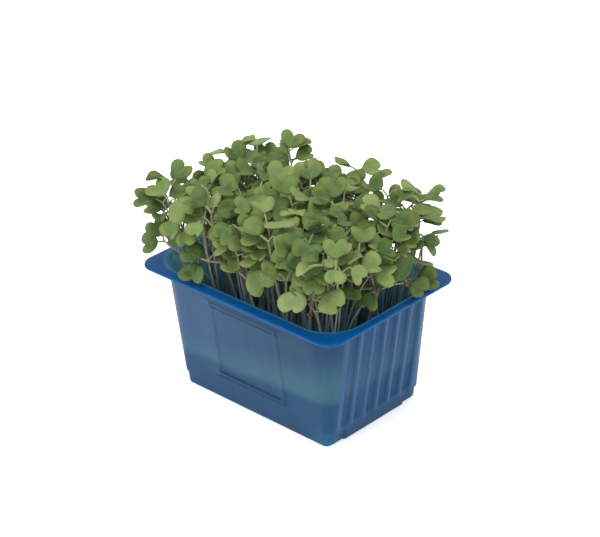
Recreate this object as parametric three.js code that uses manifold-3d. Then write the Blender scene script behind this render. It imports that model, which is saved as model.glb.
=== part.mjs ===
// Broccoli cress in its tub: a thin blue tub, the growing pad in it, and the seedlings that stand in it.
// Millimetres, +Z up. The origin is the middle of the tub's underside, X runs along the tub, Y across.
import * as THREE from "three";
import { mergeVertices } from "three/addons/utils/BufferGeometryUtils.js";
import Module from "manifold-3d";

const wasm = await Module();
wasm.setup();

// Tub: its outline at the rim and how far each wall leans in from the rim to the base
const TUB_HEIGHT = 52;
const RIM_HALF_X = 46.7;
const RIM_HALF_Y = 30.3;
const LEAN_X = 8.6;
const LEAN_Y = 5.4;
const RIM_RADIUS = 14;
const BASE_RADIUS = 2.5;
const LEAST_RADIUS = 0.8;
const WALL = 0.8;
const CORNER_STEPS = 5;

// Flange round the mouth
const FLANGE_HALF_X = 50;
const FLANGE_HALF_Y = 35;
const FLANGE_RADIUS = 6.5;
const FLANGE_UNDERSIDE_Z = 50.4;
const FLANGE_EDGE_Z = 51.2;
const FLANGE_LIP = 1.2;
const LIP_DROP = 0.25;
const FLANGE_EDGE_ROUND = 0.4;
const MOUTH_ROUND = 0.6;
const MOUTH_DEPTH = 1;

// Flutes of the short sides: narrow ridges flush with the wall, and hollows between them
const RIDGE_PITCH = 6.75;
const RIDGES_EACH_SIDE = 3;
const RIDGE_HALF = 0.8;
const RIDGE_FLANK = 0.9;
const FLUTE_DEPTH = 1;
const FLUTED_HALF_Y = 23.6;
const FLUTE_FOOT_Z = 5.2;
const FLUTE_FULL_LOW_Z = 7.6;
const FLUTE_FULL_HIGH_Z = 46.5;
const FLUTE_HEAD_Z = 49.3;

// Foot: the short sides step in near the corners, over the lowest few millimetres
const FOOT_STEP = 0.9;
const FOOT_HEIGHT = 4.4;
const FOOT_EDGE = 0.5;
const FOOT_HALF_Y = 15.8;
const PLAIN_STATIONS = [-19.8, -FOOT_HALF_Y, FOOT_HALF_Y, 19.8];
const FLOOR_Z = 0.9;
const FLOOR_ROUND = 0.5;
const INNER_STEP = FLUTE_DEPTH;

// Raised frame on each long side
const FRAME_HALF_WIDTH = 17.8;
const FRAME_LOW_Z = 11;
const FRAME_HIGH_Z = 44.5;
const FRAME_BAND = 2.1;
const FRAME_PROUD = 0.5;
const FRAME_SUNK = 0.4;

// Growing pad
const PAD_TOP_Z = 17;
const PAD_CLEAR = 0.4;
const PAD_BOTTOM_Z = 1.25;
const PAD_STEP_Z = FLUTE_FOOT_Z + 1;
const HOLE_RADIUS = 2.3;
const HOLE_DEPTH = 8;
const CUT_PAST = 1;
const HOLE_SIDES = 4;

// Seedlings: two in each clump, one tall and one short, their heads on a loose grid over the tub
const SEED = 20261;
const CLUMP_COLUMNS = 6;
const CLUMP_ROWS = 8;
const HEADS_HALF_X = 44;
const HEADS_HALF_Y = 30;
const HEAD_JITTER = 3;
const BASE_SCALE_X = 0.82;
const BASE_SCALE_Y = 0.8;
const BASE_JITTER_X = 1.1;
const BASE_JITTER_Y = 0.8;
const ROOT_DEPTH = 7.6;
const ROOT_HEIGHT = 5;
const ROOT_BELOW = 0.2;
const ROOT_SIDES = 4;
const ROOT_RADIUS = 1.15;
const TALL_Z = 80;
const TALL_SPREAD = 6;
const SHORT_Z = 75;
const SHORT_SPREAD = 17;
const EDGE_DROP = 4;
const REACH_X = 51.5;
const REACH_Y = 36.5;
const REACH_Z = 87.5;
const LIGHT_AZIMUTH = -0.78;
const TRIES = 400;

// What is drawn for each seedling: its stem's bends and lean, how its leaves splay, then each leaf's values
const STEM_BEND = 1.6;
const HEAD_LEAN = 0.12;
const LEAF_SPLAY = 0.45;
const STALK_LENGTHS = [3, 6];
const STALK_RISES = [0.35, 1.0];
const BLADE_TILTS = [-0.45, 0.6];
const TILT_TO_LIGHT = 0.3;
const TILT_OUTWARD = 0.25;
const BLADE_ROLL = 0.45;
const ROLL_TO_LIGHT = 0.25;
const BLADE_WIDTHS = [9, 12.6];
const SECOND_LEAF = 0.9;
const BLADE_FOLDS = [0.08, 0.3];
const BLADE_DROOPS = [0.02, 0.22];
const LOW_BEND_SHARE = 0.4;
const HIGH_BEND_SHARE = 0.3;

// Stem, stalk and blade
const STEM_RADIUS = 0.62;
const STEM_STEPS = 4;
const STALK_HALF_WIDTH = 0.45;
const CROWN_HALF_WIDTH = 0.85;
const BLADE_THICKNESS = 0.7;
const BLADE_ASPECT = 0.74;

// Half outline of a seed leaf, as shares of its length and of its width, from the stalk to the notch
const BLADE_HALF = [
  [0.08, 0.25],
  [0.38, 0.49],
  [0.76, 0.48],
  [1.0, 0.26],
];
const BLADE_NOTCH = 0.7;
const BLADE_HUB = 0.4;

// Room kept between the middles of two blades, of a blade and a stem, and of two stems
const BLADE_ROOM = 1.05;
const BLADE_MARGIN = 0.8;
const STEM_ROOM = 1.4;
const STEM_MARGIN = 1.1;
const STEMS_APART = 1.9;
const RIM_ROOM = 1.2;

// Seedlings that stand out of the crowd, placed by eye: the stem's base, its two bend points and its head,
// then for each leaf the azimuth, stalk length, rise of the stalk, tilt, roll and width
const SINGLES = [
  {
    name: "cress_arching_right",
    path: [[35.8, -12, 9.4], [36.2, -13, 46], [31, 0, 58], [43.3, 15.5, 56]],
    leaves: [[0.9, 2.6, 0.1, -0.2, 0.6, 10.2], [3.6, 3, 0.9, 0.8, -0.5, 10.5]],
  },
  {
    name: "cress_leaning_left",
    path: [[-12, -15, 9.4], [-10, -17, 44], [-25, -26.5, 55], [-39.5, -29.5, 62]],
    leaves: [[3.92, 2.5, 0, -0.1, -0.6, 8.4], [3.5, 2.6, 1.2, 1.0, -0.7, 9.4]],
  },
  {
    name: "cress_drooping_front",
    path: [[24, -18, 9.4], [23.5, -18, 35], [23, -21, 57], [27, -25.5, 63.5]],
    leaves: [[-1.2, 2.6, 0.1, -0.75, 0.1, 11.4], [2.9, 4, 0.5, 0.15, -0.2, 9.6]],
  },
  {
    name: "cress_peak",
    path: [[-24, 18, 9.4], [-23.3, 18, 38], [-25, 24, 62], [-26, 26, 78.3]],
    leaves: [[3.6, 3, 1.2, 1.1, 0.2, 9], [0.8, 3, 0.9, 0.35, 0.3, 9]],
  },
  {
    name: "cress_left_tip",
    path: [[-24.2, -6, 9.4], [-25, -7, 38], [-37, -22, 60], [-42, -27, 76.5]],
    leaves: [[3.85, 3.2, 0.5, 0.05, -0.35, 10.4], [1.0, 3.6, 0.7, 0.2, 0.1, 9.6]],
  },
];
const SINGLE_FOLD = 0.18;
const SINGLE_DROOP = 0.12;

const lerp = (a, b, t) => a + (b - a) * t;
const SLACK = 1e-6;
const WELD = 1e-4;

// Repeatable draw of numbers from 0 to 1
function numberSource(seed) {
  let state = seed >>> 0;
  return () => {
    state = (Math.imul(state, 1664525) + 1013904223) >>> 0;
    return state / 4294967296;
  };
}

// Solids
function solidOf(geometry) {
  const bare = geometry.clone();
  bare.deleteAttribute("normal");
  bare.deleteAttribute("uv");
  const merged = mergeVertices(bare, WELD);
  return new wasm.Manifold(
    new wasm.Mesh({
      numProp: 3,
      vertProperties: new Float32Array(merged.attributes.position.array),
      triVerts: new Uint32Array(merged.index.array),
    }),
  );
}

function namedMesh(name, solid, material) {
  const mesh = solid.getMesh();
  const geometry = new THREE.BufferGeometry();
  geometry.setAttribute("position", new THREE.BufferAttribute(mesh.vertProperties, 3));
  geometry.setIndex(new THREE.BufferAttribute(mesh.triVerts, 1));
  geometry.computeVertexNormals();
  const made = new THREE.Mesh(geometry, material);
  made.name = name;
  return made;
}

// Tub outline at one height. Each point has a station from 0 to 8 round the loop, which strips are sewn by.
function fluteDepthAt(y) {
  const toRidge = Math.abs(y - RIDGE_PITCH * Math.round(y / RIDGE_PITCH));
  const outside = Math.abs(y) > RIDGE_PITCH * RIDGES_EACH_SIDE + RIDGE_HALF;
  return toRidge > RIDGE_HALF + SLACK && !outside ? FLUTE_DEPTH : 0;
}

function fluteStations() {
  const stations = [];
  for (let ridge = -RIDGES_EACH_SIDE; ridge <= RIDGES_EACH_SIDE; ridge++) {
    const middle = ridge * RIDGE_PITCH;
    if (ridge > -RIDGES_EACH_SIDE) stations.push(middle - RIDGE_HALF - RIDGE_FLANK);
    stations.push(middle - RIDGE_HALF, middle + RIDGE_HALF);
    if (ridge < RIDGES_EACH_SIDE) stations.push(middle + RIDGE_HALF + RIDGE_FLANK);
  }
  return stations;
}

function ring({ z, halfX, halfY, radius, flute = null, foot = false }) {
  const straight = halfY - radius;
  const end = Math.max(FLUTED_HALF_Y, straight);
  const stations = [-end, ...(flute === null ? PLAIN_STATIONS : fluteStations()), end];
  const quarter = [];
  const startAngle = Math.asin(Math.max(0, (end - straight) / radius));
  for (let step = 1; step <= CORNER_STEPS; step++) {
    const angle = lerp(startAngle, Math.PI / 2, step / CORNER_STEPS);
    quarter.push([radius * Math.cos(angle), radius * Math.sin(angle), step / CORNER_STEPS]);
  }
  const inset = (y) => (foot && Math.abs(y) > FOOT_HALF_Y + SLACK ? FOOT_STEP : 0);
  const sideX = (y) => {
    const past = Math.max(0, Math.abs(y) - straight);
    const round = radius - Math.sqrt(Math.max(0, radius * radius - past * past));
    return halfX - round - inset(y) - (flute === null ? 0 : flute * fluteDepthAt(y));
  };
  const half = stations.map((y) => [sideX(y), y, (y + end) / (2 * end)]);
  const cornerX = halfX - radius - (foot ? FOOT_STEP : 0);
  for (const [dx, dy, share] of quarter) half.push([cornerX + dx, straight + dy, 1 + share]);
  for (const [dx, dy, share] of [...quarter].reverse()) half.push([-cornerX - dx, straight + dy, 4 - share]);
  const turned = half.map(([x, y, s]) => [-x, -y, s + 4]);
  return [...half, ...turned].map(([x, y, s]) => ({ x, y, z, s }));
}

function wallRing(z, { growX = 0, growY = growX, ...more } = {}) {
  const share = 1 - z / TUB_HEIGHT;
  return ring({
    z,
    halfX: RIM_HALF_X - LEAN_X * share + growX,
    halfY: RIM_HALF_Y - LEAN_Y * share + growY,
    radius: Math.max(LEAST_RADIUS, lerp(RIM_RADIUS, BASE_RADIUS, share) + growY),
    ...more,
  });
}

function flangeRing(z, grow) {
  return ring({
    z,
    halfX: FLANGE_HALF_X + grow,
    halfY: FLANGE_HALF_Y + grow,
    radius: FLANGE_RADIUS + grow,
  });
}

// Closed skin through the rings, from a cap that faces down to a cap that faces up
function loft(rings) {
  const positions = [];
  const starts = rings.map((points) => {
    const start = positions.length / 3;
    points.forEach((p) => positions.push(p.x, p.y, p.z));
    return start;
  });
  const index = [];
  const cap = (k, up) => {
    const contour = rings[k].map((p) => new THREE.Vector2(p.x, p.y));
    for (const [a, b, c] of THREE.ShapeUtils.triangulateShape(contour, []))
      index.push(...(up ? [a, b, c] : [a, c, b]).map((i) => i + starts[k]));
  };
  const strip = (k) => {
    const low = rings[k];
    const high = rings[k + 1];
    const station = (points, i) => points[i % points.length].s + (i >= points.length ? 8 : 0);
    const lowAt = (i) => starts[k] + (i % low.length);
    const highAt = (i) => starts[k + 1] + (i % high.length);
    let i = 0;
    let j = 0;
    while (i < low.length || j < high.length) {
      const lowNext = i < low.length ? station(low, i + 1) : Infinity;
      const highNext = j < high.length ? station(high, j + 1) : Infinity;
      if (lowNext <= highNext) {
        index.push(lowAt(i), lowAt(i + 1), highAt(j));
        i++;
      } else {
        index.push(lowAt(i), highAt(j + 1), highAt(j));
        j++;
      }
    }
  };
  cap(0, false);
  for (let k = 0; k < rings.length - 1; k++) strip(k);
  cap(rings.length - 1, true);
  const geometry = new THREE.BufferGeometry();
  geometry.setAttribute("position", new THREE.Float32BufferAttribute(positions, 3));
  geometry.setIndex(index);
  return geometry;
}

function raisedFrame() {
  const shape = new THREE.Shape();
  const width = FRAME_HALF_WIDTH;
  const inner = FRAME_HALF_WIDTH - FRAME_BAND;
  shape.moveTo(-width, FRAME_LOW_Z).lineTo(width, FRAME_LOW_Z);
  shape.lineTo(width, FRAME_HIGH_Z).lineTo(-width, FRAME_HIGH_Z).closePath();
  const hole = new THREE.Path();
  hole.moveTo(-inner, FRAME_LOW_Z + FRAME_BAND).lineTo(inner, FRAME_LOW_Z + FRAME_BAND);
  hole.lineTo(inner, FRAME_HIGH_Z - FRAME_BAND).lineTo(-inner, FRAME_HIGH_Z - FRAME_BAND).closePath();
  shape.holes.push(hole);
  const depth = FRAME_PROUD + FRAME_SUNK;
  const geometry = new THREE.ExtrudeGeometry(shape, { depth, bevelEnabled: false });
  geometry.translate(0, 0, -FRAME_SUNK);
  geometry.rotateX(Math.PI / 2 + Math.atan2(LEAN_Y, TUB_HEIGHT));
  geometry.translate(0, -(RIM_HALF_Y - LEAN_Y), 0);
  return geometry;
}

function tub() {
  const rings = [
    wallRing(0, { growX: -FOOT_EDGE, foot: true }),
    wallRing(FOOT_EDGE, { foot: true }),
    wallRing(FOOT_HEIGHT, { foot: true }),
    wallRing(FLUTE_FOOT_Z, { flute: 0 }),
    wallRing(FLUTE_FULL_LOW_Z, { flute: 1 }),
    wallRing(FLUTE_FULL_HIGH_Z, { flute: 1 }),
    wallRing(FLUTE_HEAD_Z, { flute: 0 }),
    wallRing(FLANGE_UNDERSIDE_Z + LIP_DROP),
    flangeRing(FLANGE_UNDERSIDE_Z, -FLANGE_EDGE_ROUND),
    flangeRing(FLANGE_EDGE_Z, 0),
    flangeRing(TUB_HEIGHT - LIP_DROP, -FLANGE_LIP),
    wallRing(TUB_HEIGHT, { growX: MOUTH_ROUND }),
    wallRing(TUB_HEIGHT - MOUTH_DEPTH, { growX: -WALL }),
    wallRing(FLUTE_HEAD_Z, { growX: -WALL - INNER_STEP, growY: -WALL }),
    wallRing(FLUTE_FOOT_Z + FLOOR_ROUND, { growX: -WALL - INNER_STEP, growY: -WALL }),
    wallRing(FOOT_HEIGHT + FLOOR_ROUND, { growX: -WALL - INNER_STEP, growY: -WALL, foot: true }),
    wallRing(FLOOR_Z, { growX: -WALL - INNER_STEP, growY: -WALL, foot: true }),
  ];
  let solid = solidOf(loft(rings));
  const frame = raisedFrame();
  solid = solid.add(solidOf(frame));
  return solid.add(solidOf(frame.clone().rotateZ(Math.PI)));
}

// Growing pad with one plain hole for each clump
function growingPad(bases) {
  const grow = { growX: -WALL - FLUTE_DEPTH - PAD_CLEAR, growY: -WALL - PAD_CLEAR };
  let solid = solidOf(
    loft([
      wallRing(PAD_BOTTOM_Z, { ...grow, foot: true }),
      wallRing(FOOT_HEIGHT, { ...grow, foot: true }),
      wallRing(PAD_STEP_Z, grow),
      wallRing(PAD_TOP_Z, grow),
    ]),
  );
  for (const base of bases) {
    const hole = new THREE.CylinderGeometry(HOLE_RADIUS, HOLE_RADIUS, HOLE_DEPTH + CUT_PAST, HOLE_SIDES);
    hole.rotateX(Math.PI / 2);
    hole.translate(base.x, base.y, PAD_TOP_Z + (CUT_PAST - HOLE_DEPTH) / 2);
    solid = solid.subtract(solidOf(hole));
  }
  return solid;
}

// Seedlings: a stem from its root to its head, and two seed leaves on stalks from the head
const vec = (x, y, z) => new THREE.Vector3(x, y, z);
const UP = vec(0, 0, 1);
const turned = (a, b, angle) =>
  a.clone().multiplyScalar(Math.cos(angle)).addScaledVector(b, Math.sin(angle));

function makeLeaf(head, { azimuth, stalk, rise, tilt, roll, width, fold, droop }) {
  const out = vec(Math.cos(azimuth), Math.sin(azimuth), 0);
  const level = vec(-Math.sin(azimuth), Math.cos(azimuth), 0);
  const stalkAxis = turned(out, UP, rise);
  const along = turned(out, UP, tilt);
  const face = along.clone().cross(level);
  return {
    head,
    start: head.clone().addScaledVector(stalkAxis, stalk),
    stalkAxis,
    stalkNormal: stalkAxis.clone().cross(level),
    along,
    across: turned(level, face, roll),
    normal: turned(face, level.clone().negate(), roll),
    width,
    length: width * BLADE_ASPECT,
    fold,
    droop,
  };
}

// How far the blade stands off its flat plane: folded up from the midrib, drooping to the tip
const bladeLift = (leaf, along, side) =>
  Math.abs(side) * leaf.fold - (leaf.droop * along * along) / leaf.length;

function bladePoint(leaf, share, side) {
  const along = share * leaf.length;
  return leaf.start
    .clone()
    .addScaledVector(leaf.along, along)
    .addScaledVector(leaf.across, side)
    .addScaledVector(leaf.normal, bladeLift(leaf, along, side));
}

// Half width of the blade as a share of its width
function halfWidthAt(share) {
  let [lastShare, lastWidth] = [0, 0];
  for (const [nextShare, nextWidth] of BLADE_HALF) {
    if (share <= nextShare) {
      const t = (share - lastShare) / (nextShare - lastShare);
      return Math.max(0, lerp(lastWidth, nextWidth, t));
    }
    [lastShare, lastWidth] = [nextShare, nextWidth];
  }
  return lastWidth;
}

// The stem leaves its root upright and comes into its head along a lean that carries on outwards
function stemPoints(base, head, bend) {
  const height = head.z - base.z;
  const leanX = (head.x - base.x) / height + bend.topX;
  const leanY = (head.y - base.y) / height + bend.topY;
  const reach = HIGH_BEND_SHARE * height;
  const low = base.clone().add(vec(bend.x, bend.y, LOW_BEND_SHARE * height));
  const high = head.clone().sub(vec(leanX * reach, leanY * reach, reach));
  return [base, low, high, head];
}

// Points that stand for a seedling when it is tested against the others
const BLADE_SHARES = [0, 0.04, 0.08, 0.23, 0.38, 0.57, 0.76, 1];
const BLADE_SIDES = [-1, -0.5, 0, 0.5, 1];
const STALK_SHARES = [0.25, 0.5, 0.75, 1];
const STEM_SAMPLES = 44;
const STEM_FIRST_SAMPLE = 6;

function seedlingOf(clump, path, leaves) {
  const curve = new THREE.CubicBezierCurve3(...path);
  const blades = [];
  const rods = [];
  for (const leaf of leaves) {
    for (const share of BLADE_SHARES)
      for (const side of BLADE_SIDES)
        blades.push(bladePoint(leaf, share, side * halfWidthAt(share) * leaf.width));
    for (const share of STALK_SHARES) rods.push(leaf.head.clone().lerp(leaf.start, share));
  }
  for (let k = STEM_FIRST_SAMPLE; k <= STEM_SAMPLES; k++) rods.push(curve.getPoint(k / STEM_SAMPLES));
  const box = new THREE.Box3().setFromPoints([...blades, ...rods]).expandByScalar(STEMS_APART);
  return { clump, curve, leaves, blades, rods, box };
}

function outOfRoom({ x, y, z }) {
  if (Math.abs(x) > REACH_X || Math.abs(y) > REACH_Y || z > REACH_Z) return true;
  if (z > TUB_HEIGHT + RIM_ROOM) return false;
  const share = 1 - z / TUB_HEIGHT;
  const radius = lerp(RIM_RADIUS, BASE_RADIUS, share);
  const straightX = RIM_HALF_X - LEAN_X * share - FLUTE_DEPTH - WALL - RIM_ROOM - radius;
  const straightY = RIM_HALF_Y - LEAN_Y * share - WALL - RIM_ROOM - radius;
  const pastX = Math.max(0, Math.abs(x) - straightX);
  const pastY = Math.max(0, Math.abs(y) - straightY);
  return pastX * pastX + pastY * pastY > radius * radius;
}

// Whether a point comes within room of the blade's face, or within margin of its edge
function meetsBlade(point, leaf, room, margin) {
  const dx = point.x - leaf.start.x;
  const dy = point.y - leaf.start.y;
  const dz = point.z - leaf.start.z;
  const part = (axis) => dx * axis.x + dy * axis.y + dz * axis.z;
  const along = part(leaf.along);
  if (along < -margin || along > leaf.length + margin) return false;
  const side = part(leaf.across);
  if (Math.abs(side) > halfWidthAt(along / leaf.length) * leaf.width + margin) return false;
  return Math.abs(part(leaf.normal) - bladeLift(leaf, along, side)) < room;
}

function crosses(one, other) {
  if (!one.box.intersectsBox(other.box)) return false;
  for (const leaf of other.leaves) {
    if (one.blades.some((p) => meetsBlade(p, leaf, BLADE_ROOM, BLADE_MARGIN))) return true;
    if (one.rods.some((p) => meetsBlade(p, leaf, STEM_ROOM, STEM_MARGIN))) return true;
  }
  return false;
}

function stemsTouch(one, other) {
  const limit = STEMS_APART * STEMS_APART;
  return one.rods.some((p) => other.rods.some((q) => p.distanceToSquared(q) < limit));
}

function fits(seedling, placed) {
  if ([...seedling.blades, ...seedling.rods].some(outOfRoom)) return false;
  return !placed.some((other) => {
    if (crosses(seedling, other) || crosses(other, seedling)) return true;
    return other.clump !== seedling.clump && stemsTouch(seedling, other);
  });
}

function drawSeedling(draw, clump, column, tall) {
  const between = (low, high) => lerp(low, high, draw());
  const around = (spread) => between(-spread, spread);
  const cellX = (column + 0.5) / CLUMP_COLUMNS - 1;
  const cellY = ((clump.row + 0.5) / CLUMP_ROWS) * 2 - 1;
  const edge = Math.max(Math.abs(cellX), Math.abs(cellY));
  const headX = cellX * HEADS_HALF_X + around(HEAD_JITTER);
  const headY = cellY * HEADS_HALF_Y + around(HEAD_JITTER);
  const drop = draw();
  const headZ = tall ? TALL_Z - TALL_SPREAD * drop : SHORT_Z - SHORT_SPREAD * drop - EDGE_DROP * edge;
  const head = vec(headX, headY, headZ);
  const bend = {
    x: around(STEM_BEND),
    y: around(STEM_BEND),
    topX: around(HEAD_LEAN),
    topY: around(HEAD_LEAN),
  };
  const facing = between(0, 2 * Math.PI);
  const splay = around(LEAF_SPLAY);
  const leaves = [facing, facing + Math.PI + splay].map((azimuth, second) => {
    const outward = (Math.cos(azimuth) * cellX + Math.sin(azimuth) * cellY) * edge;
    const toLight = Math.cos(azimuth - LIGHT_AZIMUTH);
    const acrossLight = Math.sin(azimuth - LIGHT_AZIMUTH);
    return makeLeaf(head, {
      azimuth,
      stalk: between(...STALK_LENGTHS),
      rise: between(...STALK_RISES),
      tilt: between(...BLADE_TILTS) - TILT_TO_LIGHT * toLight - TILT_OUTWARD * outward,
      roll: around(BLADE_ROLL) + ROLL_TO_LIGHT * acrossLight,
      width: between(...BLADE_WIDTHS) * (second ? SECOND_LEAF : 1),
      fold: between(...BLADE_FOLDS),
      droop: between(...BLADE_DROOPS),
    });
  });
  return seedlingOf(clump, stemPoints(clump.base, head, bend), leaves);
}

function clumpGrid(draw) {
  const clumps = [];
  for (let row = 0; row < CLUMP_ROWS; row++)
    for (let column = 0; column < CLUMP_COLUMNS; column++) {
      const cellX = ((column + 0.5) / CLUMP_COLUMNS) * 2 - 1;
      const cellY = ((row + 0.5) / CLUMP_ROWS) * 2 - 1;
      const base = vec(
        cellX * HEADS_HALF_X * BASE_SCALE_X + lerp(-BASE_JITTER_X, BASE_JITTER_X, draw()),
        cellY * HEADS_HALF_Y * BASE_SCALE_Y + lerp(-BASE_JITTER_Y, BASE_JITTER_Y, draw()),
        PAD_TOP_Z - ROOT_DEPTH,
      );
      const name = "cress_clump_" + String(clumps.length + 1).padStart(2, "0");
      clumps.push({ name, base, row, column, seedlings: [] });
    }
  return clumps;
}

function singleSeedlings() {
  return SINGLES.map(({ name, path, leaves }) => {
    const points = path.map((place) => vec(...place));
    const common = { fold: SINGLE_FOLD, droop: SINGLE_DROOP };
    const made = leaves.map(([azimuth, stalk, rise, tilt, roll, width]) =>
      makeLeaf(points[3], { azimuth, stalk, rise, tilt, roll, width, ...common }),
    );
    const clump = { name, base: points[0], seedlings: [] };
    clump.seedlings.push(seedlingOf(clump, points, made));
    return clump;
  });
}

function growClumps() {
  const draw = numberSource(SEED);
  const clumps = clumpGrid(draw);
  const singles = singleSeedlings();
  const placed = singles.flatMap((single) => single.seedlings);
  for (const tall of [true, false])
    for (const clump of clumps) {
      const swapped = (clump.row + clump.column) % 2 === 1;
      const column = 2 * clump.column + (tall === swapped ? 1 : 0);
      for (let attempt = 0; attempt < TRIES; attempt++) {
        const seedling = drawSeedling(draw, clump, column, tall);
        if (!fits(seedling, placed)) continue;
        placed.push(seedling);
        clump.seedlings.push(seedling);
        break;
      }
    }
  return [...singles, ...clumps.filter((clump) => clump.seedlings.length > 0)];
}

// Both blades and their stalks as one bent ribbon, with the same triangles on its upper and its lower face
function leafPairGeometry(leaves) {
  const [first, second] = leaves;
  const points = [];
  const add = (point, normal) => {
    points.push({ point, normal });
    return points.length - 1;
  };
  const shared = first.across.clone().sub(second.across).normalize();
  const saddle = first.stalkNormal.clone().add(second.stalkNormal).normalize();
  const crown = [CROWN_HALF_WIDTH, -CROWN_HALF_WIDTH].map((side) =>
    add(first.head.clone().addScaledVector(shared, side), saddle),
  );
  const upper = [];
  const loops = leaves.map((leaf, which) => {
    const bend = leaf.stalkNormal.clone().add(leaf.normal).normalize();
    const edgePoint = (share, side) => add(bladePoint(leaf, share, side * leaf.width), leaf.normal);
    const edge = (sign) => [
      add(leaf.start.clone().addScaledVector(leaf.across, sign * STALK_HALF_WIDTH), bend),
      ...BLADE_HALF.map(([share, width]) => edgePoint(share, sign * width)),
    ];
    const notch = add(bladePoint(leaf, BLADE_NOTCH, 0), leaf.normal);
    const hub = add(bladePoint(leaf, BLADE_HUB, 0), leaf.normal);
    const right = edge(1);
    const left = edge(-1);
    const [headRight, headLeft] = which === 0 ? crown : [crown[1], crown[0]];
    upper.push([headLeft, left[0], right[0]], [headLeft, right[0], headRight], [hub, right[0], left[0]]);
    const rightFan = [...right, notch];
    const leftFan = [...left, notch];
    for (let k = 0; k < right.length; k++)
      upper.push([hub, leftFan[k], leftFan[k + 1]], [hub, rightFan[k + 1], rightFan[k]]);
    return [headLeft, ...left, notch, ...right.reverse()];
  });
  const loop = loops.flat();
  const positions = [];
  const half = BLADE_THICKNESS / 2;
  for (const rise of [half, -half])
    for (const { point, normal } of points)
      positions.push(...point.clone().addScaledVector(normal, rise).toArray());
  const below = points.length;
  const index = [];
  for (const [a, b, c] of upper) index.push(a, b, c, a + below, c + below, b + below);
  loop.forEach((a, k) => {
    const b = loop[(k + 1) % loop.length];
    index.push(a + below, b + below, b, a + below, b, a);
  });
  const geometry = new THREE.BufferGeometry();
  geometry.setAttribute("position", new THREE.Float32BufferAttribute(positions, 3));
  geometry.setIndex(index);
  return geometry;
}

function stemGeometry(curve) {
  const corners = [0, 1, 2].map((corner) => {
    const angle = (corner / 3) * 2 * Math.PI;
    return new THREE.Vector2(STEM_RADIUS * Math.cos(angle), STEM_RADIUS * Math.sin(angle));
  });
  const section = new THREE.Shape(corners);
  return new THREE.ExtrudeGeometry(section, { steps: STEM_STEPS, extrudePath: curve, bevelEnabled: false });
}

function rootGeometry(base) {
  const root = new THREE.CylinderGeometry(ROOT_RADIUS, ROOT_RADIUS, ROOT_HEIGHT, ROOT_SIDES);
  root.rotateX(Math.PI / 2);
  root.translate(base.x, base.y, base.z + ROOT_HEIGHT / 2 - ROOT_BELOW);
  return root;
}

function clumpSolid(clump) {
  const parts = [rootGeometry(clump.base)];
  for (const { curve, leaves } of clump.seedlings) parts.push(stemGeometry(curve), leafPairGeometry(leaves));
  return parts.map(solidOf).reduce((whole, piece) => whole.add(piece));
}

// Finishes
const bluePlastic = new THREE.MeshStandardMaterial({ color: 0x3f6c9c, roughness: 0.35, metalness: 0 });
const fibre = new THREE.MeshStandardMaterial({ color: 0x4a3d2b, roughness: 0.95, metalness: 0 });
const seedlingGreen = new THREE.MeshStandardMaterial({ color: 0x6f8c50, roughness: 0.6, metalness: 0 });

const cress = new THREE.Group();
const clumps = growClumps();
cress.add(namedMesh("tub", tub(), bluePlastic));
cress.add(namedMesh("growing_pad", growingPad(clumps.map((clump) => clump.base)), fibre));
for (const clump of clumps) cress.add(namedMesh(clump.name, clumpSolid(clump), seedlingGreen));

export default cress;
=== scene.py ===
# Looks of the potted broccoli cress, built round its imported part.
# The scene is in metres with +Z up. Sizes in the growing rule and in the outlines are in millimetres.

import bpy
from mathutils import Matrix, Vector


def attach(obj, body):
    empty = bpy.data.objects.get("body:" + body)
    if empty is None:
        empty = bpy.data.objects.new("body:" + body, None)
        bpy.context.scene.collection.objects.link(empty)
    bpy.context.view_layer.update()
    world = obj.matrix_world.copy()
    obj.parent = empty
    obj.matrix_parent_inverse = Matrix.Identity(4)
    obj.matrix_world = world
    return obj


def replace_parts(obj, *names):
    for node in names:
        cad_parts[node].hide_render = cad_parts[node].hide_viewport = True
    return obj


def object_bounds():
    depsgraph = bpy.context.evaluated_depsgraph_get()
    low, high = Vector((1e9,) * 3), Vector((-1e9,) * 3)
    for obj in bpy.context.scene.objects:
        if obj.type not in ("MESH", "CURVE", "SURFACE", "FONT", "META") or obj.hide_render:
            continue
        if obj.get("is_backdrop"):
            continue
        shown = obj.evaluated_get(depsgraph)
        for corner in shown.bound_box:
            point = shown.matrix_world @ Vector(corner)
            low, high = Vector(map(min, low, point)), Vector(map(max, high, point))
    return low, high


bl_info = {
    "name": "Potted broccoli cress",
    "version": (1, 0, 0),
    "blender": (4, 5, 0),
    "location": "View3D > Sidebar > Cress",
    "description": "Builds a tub of broccoli cress seedlings round its packed part",
    "category": "Add Mesh",
}

import math
from functools import lru_cache

import bpy
import numpy as np
from bpy.props import FloatProperty, FloatVectorProperty, IntProperty, PointerProperty
from bpy.types import Operator, Panel, PropertyGroup
from mathutils import Matrix, Vector

MM = 0.001

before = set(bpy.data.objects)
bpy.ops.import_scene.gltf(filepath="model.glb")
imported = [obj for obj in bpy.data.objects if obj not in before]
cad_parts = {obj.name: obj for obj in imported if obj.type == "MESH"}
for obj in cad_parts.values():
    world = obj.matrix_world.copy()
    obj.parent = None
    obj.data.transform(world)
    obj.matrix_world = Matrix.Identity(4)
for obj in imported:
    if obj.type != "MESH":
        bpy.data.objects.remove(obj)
CAD_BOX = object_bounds()

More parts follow.
